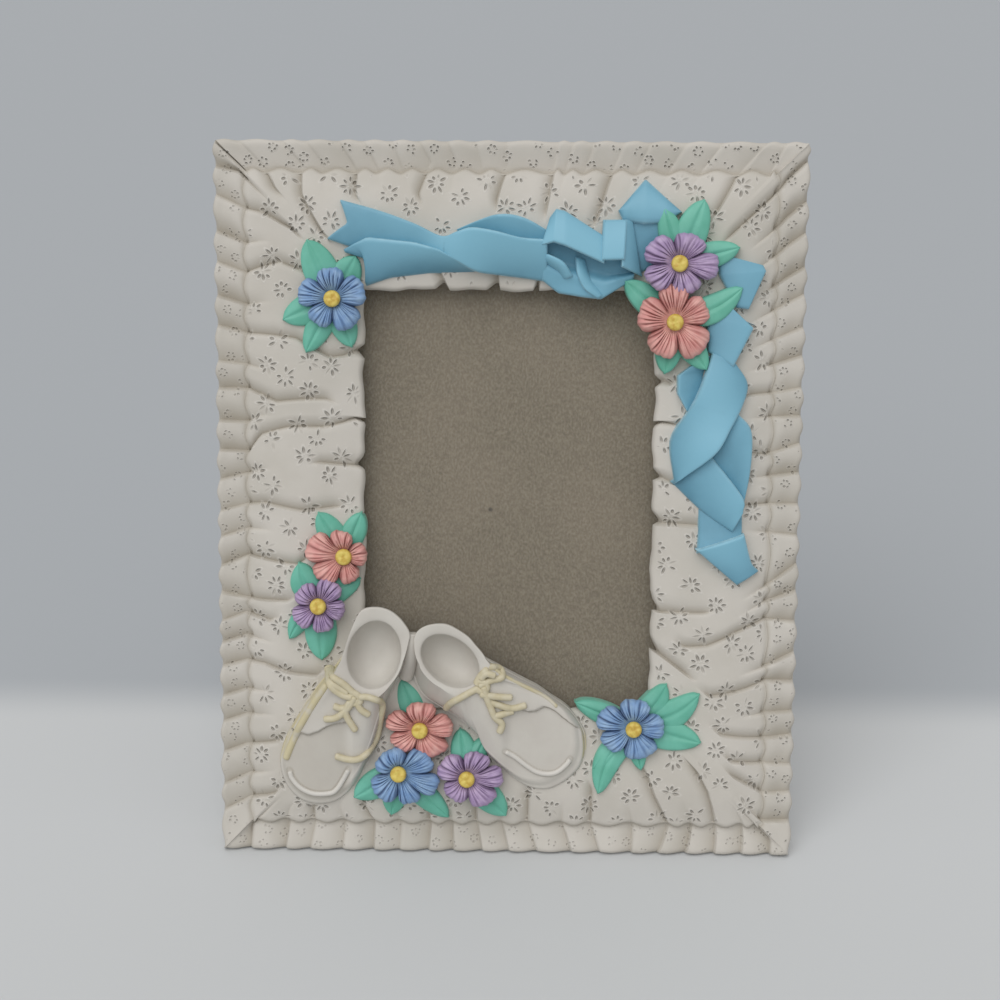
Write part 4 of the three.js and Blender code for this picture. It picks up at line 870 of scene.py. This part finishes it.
# Each mouth's middle, half length, half width and heading in degrees
shoe_mouths = {"left": (-37.4, 59, 10, 7.5, -101), "right": (-15.9, 57.5, 9.3, 6.5, -40)}
cap_seams = {
    "left": [(-66, 36.4), (-62, 36.2), (-59.5, 35.4), (-56.5, 34.8), (-53.7, 35.9), (-51, 37.7),
             (-48.3, 38.6), (-45, 39.2)],
    "right": [(-3.6, 43.8), (2.1, 43.7), (4.3, 43.1), (6.4, 42.4), (8.6, 42.6), (10.7, 43.8), (12.4, 43.2),
              (14.1, 42.2), (16, 40.5), (18.6, 38.4), (22, 36)],
}
cap_sides = {"left": (-45.3, -1), "right": (-.2, 1)}
# Shares round the outline, on from the heel: where the wall hangs over, where it slopes down to the other
# shoe and where cream paint has run, with the number of rings that it reaches
overhangs = {"left": [(0, .06, .12, .78, .86, 1), (1, 1, 0, 0, 1, 1)],
             "right": [(0, .03, .08, .6, .67, 1), (1, .7, 0, 0, 1, 1)]}
flanks = {"left": [(0, .66, .71, .79, .85, 1), (0, 0, 1, 1, 0, 0)],
          "right": [(0, .04, .09, .2, .27, 1), (0, 0, 1, 1, 0, 0)]}
cream_runs = {"left": (.14, .36, 22), "right": (.53, .62, 8)}
toe_beads = {
    "left": [(-62.3, 23.5), (-61.7, 21.4), (-59.8, 19), (-57.3, 17.4), (-54.4, 16.7), (-50.6, 17),
             (-48.7, 18.3), (-46.8, 21.3), (-45.2, 24.4)],
    "right": [(-.2, 30.4), (2.7, 28.6), (5.8, 26.1), (8.7, 24.2), (11.8, 23.5), (14.7, 24.1), (17.2, 26.2),
              (18.4, 27.9)],
}
bead_radius = .72
piping_routes = {
    "left": [(-50.6, 50.6), (-54.9, 44.2), (-59, 37.2), (-61.7, 31.4), (-63.6, 26.7)],
    "right": [(-3.6, 55.4), (-.9, 53.3), (3.1, 50.9), (9.4, 47.4), (12.1, 45.6), (14.5, 43.4)],
}
piping_radii = {"left": 1.1, "right": .6}
cap_washes = {"left": .45, "right": .05}
groove_darkening, bead_foot_shadow = .8, .6
# The wall's rings, by how far in from the outline and up from the upper's foot they lie, the two that form
# the welt's groove, and the mouth's rings, by share of its outline and of its depth
wall_rings = [(0, -5), (0, -1.2), (.12, -1), (.7, -.95), (.75, -.8), (.65, -.4), (welt_out, 0)]
welt_groove = slice(3, 5)
mouth_rings = [(.97, .34), (.92, .5), (.85, .64), (.75, .78), (.62, .89), (.45, .97), (.25, 1), (0, 1)]
web_corners = np.array([[(-36.5, 47), (-27, 55)], [(-36, 38), (-19, 42)]])
heel_bridge = np.array([(-26.8, 65.2, 19), (-26.9, 62, 19), (-27.3, 58, 17.4), (-28.2, 54, 14.6),
                        (-29.2, 50.5, 12)])
bridge_radius = 2.3
web_top = shoe_base - .2
web_span, web_steps = 10, (10, 10)
cord_steps, cord_sides = 14, 12
cord_taper, cord_smoothing = 3, 9
top_bias = 2e-3
piping_lift, bead_lift = -.15, .1
plain_tone, cream_tone, highlight_tone = 0.0, 1.0, 2.0


def shoe(side):
    """A shoe as rings from its sole's outline in to its mouth, with its tint, below 0 where it is darkened
    and 1
    for cream: a wall, a toe that slopes up to a flat cap, sides that swell as a quarter sine, a rounded
    collar, then down inside to the insole. The toe cap lies a millimetre below the rest of the upper at its
    seam. The darkening is painted shadow along the cap seam and round the toe bead, and a darker welt groove
    and cap."""
    turn = np.linspace(0, 1, outline_count, endpoint=False)
    corners = shoe_outlines[side]
    looped = np.array([*corners[-2:], *corners, *corners[:3]])
    edge = curve(looped, (2 + turn * len(corners)) / (len(looped) - 1))
    x, y, long, short, heading = shoe_mouths[side]
    middle = np.array([x, y])
    heel, across = axes(heading + 180)
    away = edge - middle
    swing = np.unwrap(np.arctan2(away @ across / short, away @ heel / long))
    spoke = long * np.cos(swing)[:, None] * heel + short * np.sin(swing)[:, None] * across
    reach = np.linalg.norm(middle + spoke - edge, axis=1)
    inward = (middle + spoke - edge) / reach[:, None]
    toe = (1 - np.cos(math.tau * turn)) / 2
    toe_share = ease(toe, .45, .8)
    hung, flank = np.interp(turn, *overhangs[side]), np.interp(turn, *flanks[side])
    low = shoe_base + sole_rise - toe_dip * toe_share
    top = shoe_base + throat_rise + heel_rise * (1 - toe)
    insole = shoe_base + insole_rise
    ledge = .2 + slope_width * toe ** 1.6
    collar = np.minimum(collar_width + collar_gain * (1 - toe), .8 * reach) * (1 - .6 * flank)
    upper = reach - collar

    rings = [(out + (overhang - .3 * rise) * hung, low + rise) for out, rise in wall_rings]
    early = np.minimum(ledge + 1.6, .5 * upper)
    places = [early * share for share in np.linspace(0, 1, slope_rings + 1)[1:]]
    places += [early + (upper - early) * share for share in np.linspace(0, 1, throat_rings + 1)[1:]]
    for place in places:
        share = np.clip(place / upper, 0, 1)
        side_swell = np.sin(math.pi / 2 * share ** (.2 + .5 * ease(toe, .05, .6)))
        side_swell = side_swell + flank * (share - side_swell)
        cap_share = np.clip((place - ledge) / (upper - ledge), 0, 1)
        toe_swell = .42 * np.sin(math.pi / 2 * np.clip(place / ledge, 0, 1) ** .8) + .58 * cap_share ** 1.1
        swell = side_swell + toe_share * (toe_swell - side_swell)
        drawn_in = welt_out * (1 - share) * (1 - hung) + overhang * hung * (1 - swell)
        rings.append((place + drawn_in, low + (top - low) * swell))
    rings += [(reach - collar * (1 - math.sin(roll)), top - collar_drop * (1 - math.cos(roll)))
              for roll in np.linspace(0, math.pi / 2, collar_rings + 1)[1:]]
    inset, height = (np.array(part) for part in zip(*rings))
    share, sunk = np.array(mouth_rings).T[:, :, None]
    brim = top - collar_drop
    flat = np.concatenate([edge + inward * inset[..., None], middle + share[..., None] * spoke])
    height = np.concatenate([height, brim + (insole - brim) * sunk])

    seam = np.array(cap_seams[side])
    wall, direction = cap_sides[side]
    above = np.interp(flat[..., 0], seam[:, 0], seam[:, 1]) - flat[..., 1]
    beside = (flat[..., 0] - wall) * direction
    raised = ease(height - low, .4, 2.4)
    # A dark line along the cap seam: painted shadow under the step of the upper's edge
    tint = -np.exp(-((above - .1) / .28) ** 2) * raised * ease(beside, -.4, .4)
    capped = ease(above, -.2, .2) * raised * ease(beside, -1.6, 1.6)
    # The cap is painted darker than the rest of the upper
    tint -= cap_washes[side] * capped
    # Darker in the welt's groove on the toe
    tint[welt_groove] -= groove_darkening * toe_share
    bead = curve(toe_beads[side], np.linspace(0, 1, 90))
    off = np.sqrt(((flat[..., None, :] - bead) ** 2).sum(-1)).min(-1)
    # A painted shadow line round the feet of the toe bead
    tint -= bead_foot_shadow * np.exp(-((off - bead_radius - .1) / .3) ** 2) * raised
    start, end, count = cream_runs[side]
    tint[:count] += ease(turn, start, start + .03) * (1 - ease(turn, end - .03, end))
    return np.concatenate([flat, (height - cap_drop * capped)[..., None]], axis=-1), tint


def cord(carrier, route, radius, lift, tone=cream_tone):
    """A round cord along a route, laid on the nearest points of a surface, the higher of two as near, and
    lifted off them; its height is averaged along it and its ends shrink to a point as a circle does. Its
    tone is the tint all over it."""
    count = cord_steps * len(route)
    flat = curve(route, np.linspace(0, 1, count))
    near = ((carrier[None, :, :2] - flat[:, None]) ** 2).sum(-1) - top_bias * carrier[None, :, 2]
    height = carrier[near.argmin(axis=1), 2]
    smoothing = np.full(cord_smoothing, 1 / cord_smoothing)
    height = np.convolve(np.pad(height, cord_smoothing // 2, mode="edge"), smoothing, "valid") + lift
    path = np.concatenate([flat, height[:, None]], axis=1)
    ahead = np.gradient(path, axis=0)
    ahead /= np.linalg.norm(ahead, axis=1)[:, None]
    aside = np.cross(ahead, [0, 0, 1])
    aside /= np.linalg.norm(aside, axis=1)[:, None]
    up = np.cross(aside, ahead)
    to_end = np.minimum(np.arange(count), np.arange(count)[::-1])
    girth = radius * np.sqrt(1 - np.clip(1 - to_end / cord_taper, 0, 1) ** 2)
    swing = np.linspace(0, math.tau, cord_sides + 1)[:-1]
    ring = np.cos(swing)[:, None] * aside[:, None] + np.sin(swing)[:, None] * up[:, None]
    points = path[:, None] + girth[:, None, None] * ring
    faces = grid_faces(count, cord_sides, around=True)
    return points.reshape(-1, 3), faces, np.full(count * cord_sides, tone)


def web(u, v):
    """The web of resin between the two heels, flat between its corners, that closes the window's corner."""
    (top_left, top_right), (low_left, low_right) = web_corners
    u, v = u[..., None], v[..., None]
    flat = (top_left * (1 - v) + top_right * v) * (1 - u) + (low_left * (1 - v) + low_right * v) * u
    return np.concatenate([flat, np.full_like(u, web_top)], axis=-1)


white, tree, shader = finish_of("white_shoe_paint", .55)
tinted = kept(tree, "tint")
shade = mottle(tree, .01, .3, .7, (190, 185, 177), (197, 193, 185))
# Below 0 the tint darkens the paint: painted shadow along the cap seam and round the toe bead's feet, and a
# darker welt groove and cap
darkened = blend(tree, span(tree, tinted, 0, -1, 0, .5), shade, (142, 133, 117))
stain = times(tree, span(tree, tinted, 0, 1), span(tree, speckle(tree, .004), .3, .55, .3))
creamed = blend(tree, stain, darkened, (194, 184, 150))
# Above 1.2 the tint turns the paint paler: a painted highlight on the toe bead
highlighted = blend(tree, span(tree, tinted, 1.2, 1.8), creamed, (203, 199, 192))
coat(tree, shader, highlighted, speckle(tree, .0011, 3.0), .00006, .6)
shoe_surfaces = {}
for side in ("left", "right"):
    points, tint = shoe(side)
    surface = points.reshape(-1, 3)
    shoe_surfaces[side] = surface
    parts = [(surface, grid_faces(*tint.shape, around=True), tint.ravel()),
             cord(surface, piping_routes[side], piping_radii[side], piping_lift),
             cord(surface, toe_beads[side], bead_radius, bead_lift, highlight_tone)]
    if side == "left":
        bridge = curve(heel_bridge, np.linspace(0, 1, 70))
        parts += [slab(web, web_span, web_span, web_steps, ornament_back),
                  cord(bridge, heel_bridge[:, :2], bridge_radius, 0, plain_tone)]
    points, faces, tint = gathered(parts)
    build(f"{side}_shoe_upper", points, faces, white, "shoe_white", [f"{side}_shoe"], tint=tint)


# The laces: round cords cast on the shoes, tied in a bow over two bars, with one long tail on the left shoe.
# They were painted a warmer cream than the shoes by hand.
lace_radius = 1.0
lace_lifts = (.35, .7)
lace_routes = {
    "left": [
        [(-42.7, 47.6), (-46, 50.7), (-49.3, 52.8), (-51.3, 53.3), (-51, 52), (-47.9, 49.9), (-44.6, 47.7)],
        [(-42.7, 47.3), (-44.9, 43.6), (-48.3, 40.6), (-52, 40)],
        [(-49.1, 44.1), (-46.9, 43.4), (-44.3, 43.9)],
        [(-44.1, 45.9), (-45.5, 41.9), (-42.6, 36.4)],
        [(-43.6, 48.4), (-41.8, 47.2), (-41.4, 45.6), (-43, 45), (-44.2, 46.6), (-43.2, 48)],
        [(-51.4, 53.6), (-49.2, 49.6), (-46.2, 47.4), (-43.4, 46.8)],
        [(-42.6, 46.6), (-41.4, 43.4), (-38.8, 41.2)],
        [(-41.8, 47), (-39, 47), (-36.4, 45.9), (-35.4, 43.5), (-36.1, 39.5), (-37.2, 33.7), (-38.9, 30.2),
         (-42, 27.9), (-45.7, 27.8), (-49.1, 28.7)],
    ],
    "right": [
        [(-8.7, 50.8), (-7, 53.8), (-4.5, 55.8), (-1.9, 55), (-1.3, 53), (-4.7, 52), (-7.9, 50.3)],
        [(-7.6, 48.2), (-3, 47.4), (1.9, 47)],
        [(-5.6, 46.2), (-2.1, 44.8), (1.6, 43.7), (5.9, 44.6)],
        [(-6.4, 50.6), (-5.6, 47.4), (-4.4, 44.2), (-3.2, 41.3), (-1.2, 39.1), (-2, 36.3)],
        [(-7.6, 50), (-11, 48.2), (-15.3, 45.5), (-17.5, 42.3)],
        [(-3.5, 41.5), (-.4, 42.2), (2.2, 42.8)],
        [(-8.8, 50), (-7.2, 49), (-5.6, 49.6), (-5.8, 51.4), (-7.6, 51.8), (-8.6, 50.6)],
        [(-7.4, 52.4), (-5.6, 54.2), (-3, 53.6)],
    ],
}
cream, tree, shader = finish_of("cream_lace_paint", .6)
coat(tree, shader, mottle(tree, .002, .35, .7, (192, 182, 152), (198, 190, 166)))
for side, routes in lace_routes.items():
    points, faces, _ = gathered([cord(shoe_surfaces[side], route, lace_radius, lace_lifts[place % 2])
                                 for place, route in enumerate(routes)])
    build(f"{side}_laces", points, faces, cream, "lace_cream", [f"{side}_shoe_laces"])


# The glass pane: a plain sheet of clear glass, loose in the rebate behind the lip.
# It barely shows but for a faint sheen.
glass, tree, shader = finish_of("clear_glass", .04, Alpha=.03, IOR=1.45)
coat(tree, shader, mottle(tree, .03, .4, .7, (232, 238, 236), (240, 242, 240)))
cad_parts["glass_pane"].material_slots[0].material = glass


# The backing board and the easel leg: grey-brown chipboard, bare on both faces, with pale fibres, dark flecks
# and a slightly furry surface. The board drops into the rebate, the leg hangs on the hinge.
chipboard, tree, shader = finish_of("grey_chipboard", .95)
place = add(tree, "TexCoord").outputs["Object"]
cloudy = mottle(tree, .03, .3, .7, (102, 91, 73), (110, 99, 81))
fibres = add(tree, "TexNoise", Vector=add(tree, "Mapping", Vector=place, Scale=(1, 1, .6)).outputs[0],
             Scale=1900.0, Detail=3.0).outputs["Fac"]
fibrous = blend(tree, span(tree, fibres, .35, .7, 0, .55), cloudy, (140, 130, 112))
grit = add(tree, "TexVoronoi", Vector=place, Scale=420.0).outputs["Distance"]
flecked = blend(tree, span(tree, grit, .16, .06, 0, .55), fibrous, (92, 82, 66))
spots = add(tree, "TexVoronoi", Vector=place, Scale=55.0).outputs["Distance"]
spotted = blend(tree, span(tree, spots, .045, .02, 0, .8), flecked, (60, 52, 42))
coat(tree, shader, spotted, fibres, .00006, .5)
for node in ("backing_board", "easel_leg"):
    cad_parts[node].material_slots[0].material = chipboard


# The turn buttons: stamped steel straps, two at each side of the board, each on a slotted round-headed screw.
# They are zinc plated, with softened edges.
back_gap = 0.3
strap_thickness = 1.0
strap_length = 10
pivot_radius, tip_radius = 4.5, 3
head_radius, head_height = 3, 1.7
slot_half, slot_depth = .45, .8
button_places = {
    "upper_left": (-50.25, 143.2744, 1), "upper_right": (50.25, 143.2744, -1),
    "lower_left": (-50.25, 59.2744, 1), "lower_right": (50.25, 59.2744, -1),
}


def stamped(outline, low, high, bevel=.22):
    """A stamped sheet piece: its outline shrunk towards the middle in rings, over the upper face, round both
    edges and back over the lower face to the middle."""
    middle = outline.mean(axis=0)
    ray = outline - middle
    far = np.linalg.norm(ray, axis=1)
    over = [(far, 0), (.55, 0), (bevel, 0), (.3 * bevel, .3 * bevel), (0, bevel)]
    steps = [(inward, high - drop) for inward, drop in over]
    steps += [(inward, low + drop) for inward, drop in over[::-1]]
    flat = np.array([middle + ray * (1 - inward / far)[:, None] for inward, _ in steps])
    level = np.array([height for _, height in steps])[:, None, None] * np.ones((len(outline), 1))
    points = np.concatenate([flat, level], axis=-1)
    return points.reshape(-1, 3), grid_faces(*points.shape[:2], around=True)


def turned(profile, sides=40):
    """A turned piece about z: a profile of radius and height carried round in a circle."""
    radius, height = np.array(profile, float).T[:, :, None]
    swing = np.linspace(0, math.tau, sides + 1)[:-1]
    points = np.stack([radius * np.cos(swing), radius * np.sin(swing), height * np.ones(sides)], axis=-1)
    return points.reshape(-1, 3), grid_faces(len(radius), sides, around=True)


def spun(points, angle, axis):
    """Points turned about one of the three axes, by its number."""
    first, second = (axis + 1) % 3, (axis + 2) % 3
    result = points.copy()
    result[:, first] = points[:, first] * math.cos(angle) - points[:, second] * math.sin(angle)
    result[:, second] = points[:, first] * math.sin(angle) + points[:, second] * math.cos(angle)
    return result


def slotted_head(seat):
    """A slotted screw head: a square grid squeezed into a circle, bulging backwards as a shallow dome, with
    a straight slot sunk across it; a second grid closes it at its seat."""
    marks = np.array([0, slot_half - .01, slot_half + .05, 1, 1.6, 2.1, 2.5, 2.75, 2.9, head_radius])
    marks = np.concatenate([-marks[:0:-1], marks]) / head_radius
    u, v = np.meshgrid(marks, marks, indexing="ij")
    x, y = head_radius * u * np.sqrt(1 - v * v / 2), head_radius * v * np.sqrt(1 - u * u / 2)
    rim = np.clip(np.maximum(np.abs(u), np.abs(v)), 0, 1)
    bulge = head_height * np.sqrt(np.clip(1 - .96 * rim ** 6, 0, 1)) * (1 - .12 * rim ** 2)
    in_slot = np.abs(v) * head_radius < slot_half
    bulge = np.where(in_slot, np.minimum(bulge, head_height - slot_depth), bulge)
    bulge = np.where(rim >= 1, .25 * head_height, bulge)
    front = np.stack([x, y, seat - bulge], axis=-1)
    back = np.stack([x, y, np.full_like(x, seat)], axis=-1)
    faces = grid_faces(*u.shape)
    order = np.arange(u.size).reshape(u.shape)
    border = np.concatenate([order[0], order[1:, -1], order[-1, -2::-1], order[-2:0:-1, 0]])
    following = np.roll(border, -1)
    skirt = np.stack([border, following, following + u.size, border + u.size], axis=1)
    points = np.concatenate([front.reshape(-1, 3), back.reshape(-1, 3)])
    return points, np.concatenate([faces[:, ::-1], faces + u.size, skirt])


steel, tree, shader = finish_of("zinc_plated_steel", .36, Metallic=1.0)
plated = mottle(tree, .004, .35, .65, (196, 195, 190), (212, 211, 207))
coat(tree, shader, plated, speckle(tree, .0006, 3.0), .00003, .5)
pivot_turn = np.linspace(math.pi / 2, 3 * math.pi / 2, 30)
tip_turn = np.linspace(-math.pi / 2, math.pi / 2, 24)
strap_outline = np.concatenate([
    pivot_radius * np.stack([np.cos(pivot_turn), np.sin(pivot_turn)], axis=1),
    tip_radius * np.stack([np.cos(tip_turn), np.sin(tip_turn)], axis=1) + [strap_length, 0],
])
for name, (x, y, facing) in button_places.items():
    points, faces = stamped(strap_outline, -back_gap - strap_thickness, -back_gap)
    build(f"strap_{name}", points * [facing, facing, 1] + [x, y, 0], faces, steel, "steel",
          [f"turn_button_{name}"], body=f"button_{name}")
    points, faces = slotted_head(-2 * back_gap - strap_thickness)
    lay = math.radians(25 + x + y)
    build(f"screw_{name}", spun(points, lay, 2) + [x, y, 0], faces, steel, "steel", [f"button_screw_{name}"])


# The hinge: two pressed steel leaves curled round one pin, each fixed by two domed rivets.
# The leg's leaf has a heel that meets the board and stops the leg when it is open.
pin_height, pin_depth = 139.2744, 2.3
leg_opening = math.radians(28)
hinge_half, leaf_height = 12, 15
leaf_near, leaf_far = 1.2, 2
knuckle_radius, knuckle_rim, knuckle_bevel = 2, 1.7, .2
middle_half, outer_start = 5, 5.3
plate_start = 2.3
stub_lap, stub_height, stub_corner, stub_bevel = .2, 4, .2, .1
heel_height, heel_corner, heel_near, heel_far = 6, .3, .1, .9
rivet_radius, rivet_height = 2.2, .9
rivet_x, rivet_y = 6.5, 10
board_rivet_seat, leg_rivet_seat = -1.4, -2.3


def round_cornered(left, right, low, high, radius=1.2):
    """The outline of a rectangle with rounded corners, anticlockwise."""
    swing = np.linspace(0, math.pi / 2, 6)
    corners = [(right, high, -1, -1), (left, high, 1, -1), (left, low, 1, 1), (right, low, -1, 1)]
    return np.concatenate([
        np.stack([x + radius * (sign_x + np.cos(swing + quarter * math.pi / 2)),
                  y + radius * (sign_y + np.sin(swing + quarter * math.pi / 2))], axis=1)
        for quarter, (x, y, sign_x, sign_y) in enumerate(corners)
    ])


def along_x(profile, sides):
    """A turned piece about x: a profile of radius and place along x carried round in a circle."""
    points, faces = turned(profile, sides)
    return points[:, [2, 0, 1]], faces


def knuckle(start, end):
    """A knuckle of the hinge: a short tube's outside along x, with softened ends."""
    return along_x([(0, start), (knuckle_rim, start), (knuckle_radius, start + knuckle_bevel),
                    (knuckle_radius, end - knuckle_bevel), (knuckle_rim, end), (0, end)], 28)


def on_board(points):
    """Points about the hinge pin, as the folded hinge lies, put on the back of the board."""
    return points + [0, pin_height, -pin_depth]


def on_leg(points):
    """Points about the hinge pin, swung open about it with the leg."""
    return on_board(spun(points, leg_opening, 0))


points, faces = gathered([
    stamped(round_cornered(-hinge_half, hinge_half, plate_start, leaf_height), leaf_near, leaf_far),
    stamped(round_cornered(-hinge_half, -outer_start, -stub_lap, stub_height, stub_corner),
            leaf_near, leaf_far, stub_bevel),
    stamped(round_cornered(outer_start, hinge_half, -stub_lap, stub_height, stub_corner),
            leaf_near, leaf_far, stub_bevel),
    knuckle(-hinge_half, -outer_start), knuckle(outer_start, hinge_half),
])
build("hinge_leaf_on_board", on_board(points), faces, steel, "steel", ["hinge_leaf_board"])
heel_outline = round_cornered(-middle_half, middle_half, 0, heel_height, heel_corner)
heel_points, heel_faces = stamped(heel_outline, heel_near, heel_far)
points, faces = gathered([
    stamped(round_cornered(-hinge_half, hinge_half, -leaf_height, -plate_start), -leaf_far, -leaf_near),
    stamped(round_cornered(-middle_half, middle_half, -stub_height, stub_lap, stub_corner),
            -leaf_far, -leaf_near, stub_bevel),
    (spun(heel_points, -leg_opening, 0), heel_faces),
    knuckle(-middle_half, middle_half),
])
build("hinge_leaf_on_leg", on_leg(points), faces, steel, "steel", ["hinge_leaf_leg"], body="leg")
pin_end = [(0, hinge_half + .45), (.8, hinge_half + .4), (1, hinge_half + .1)]
points, faces = along_x([(radius, -x) for radius, x in pin_end] + pin_end[::-1], 24)
build("hinge_pin_turned", on_board(points), faces, steel, "steel", ["hinge_pin"])
dome_turn = np.linspace(0, math.pi / 2, 9)
dome = np.stack([rivet_radius * np.sin(dome_turn), -rivet_height * np.cos(dome_turn)], axis=1)
points, faces = turned([*dome, (rivet_radius, 0), (0, 0)])
for name, x in (("left", -rivet_x), ("right", rivet_x)):
    build(f"rivet_board_{name}", points + [x, pin_height + rivet_y, board_rivet_seat], faces, steel, "steel",
          [f"board_rivet_{name}"])
    build(f"rivet_leg_{name}", on_leg(points + [x, -rivet_y, leg_rivet_seat]), faces, steel, "steel",
          [f"leg_rivet_{name}"], body="leg")


# The light: one broad soft lamp overhead, in front and a little to the left, with an even pale surround.
# The floor is one pale sheet that turns a darker blue-grey behind the frame, painted shade in place of a
# backdrop in shade, and the camera stands in front of the frame and a little above it.
world = bpy.data.worlds.new("soft_surround")
bpy.context.scene.world = world
world.use_nodes = True
surround = world.node_tree.nodes["Background"].inputs
surround["Color"].default_value = (1, 1, 1, 1)
surround["Strength"].default_value = .55
lamp_data = bpy.data.lights.new("overhead", "SUN")
lamp_data.angle = math.radians(55)
lamp_data.energy = 1.6
lamp = bpy.data.objects.new("overhead", lamp_data)
lamp.rotation_euler = Vector((-.22, -.62, .75)).to_track_quat("Z", "Y").to_euler()
bpy.context.scene.collection.objects.link(lamp)

floor_half = 4
floor_mesh = bpy.data.meshes.new("floor")
floor_corners = [(-floor_half, -floor_half, 0), (floor_half, -floor_half, 0), (floor_half, floor_half, 0),
                 (-floor_half, floor_half, 0)]
floor_mesh.from_pydata(floor_corners, [], [(0, 1, 2, 3)])
floor = bpy.data.objects.new("floor", floor_mesh)
bpy.context.scene.collection.objects.link(floor)
sheet, tree, shader = finish_of("pale_floor_sheet", .8)
depth = add(tree, "SeparateXYZ", i0=add(tree, "TexCoord").outputs["Object"]).outputs[1]
# Darker blue-grey from just behind the frame on: painted shade standing in for the backdrop in shade
coat(tree, shader, blend(tree, span(tree, depth, .068, .1), (199, 201, 202), (170, 174, 178)))
floor_mesh.materials.append(sheet)

camera_data = bpy.data.cameras.new("camera")
camera_data.lens = 63
camera_data.sensor_width = 36
camera = bpy.data.objects.new("camera", camera_data)
camera.location = (.00642, -.44021, .29246)
camera.rotation_euler = [math.radians(turn) for turn in (67.4407, -.0929, 1.1288)]
bpy.context.scene.collection.objects.link(camera)
bpy.context.scene.camera = camera
bpy.context.scene.view_settings.view_transform = "Standard"
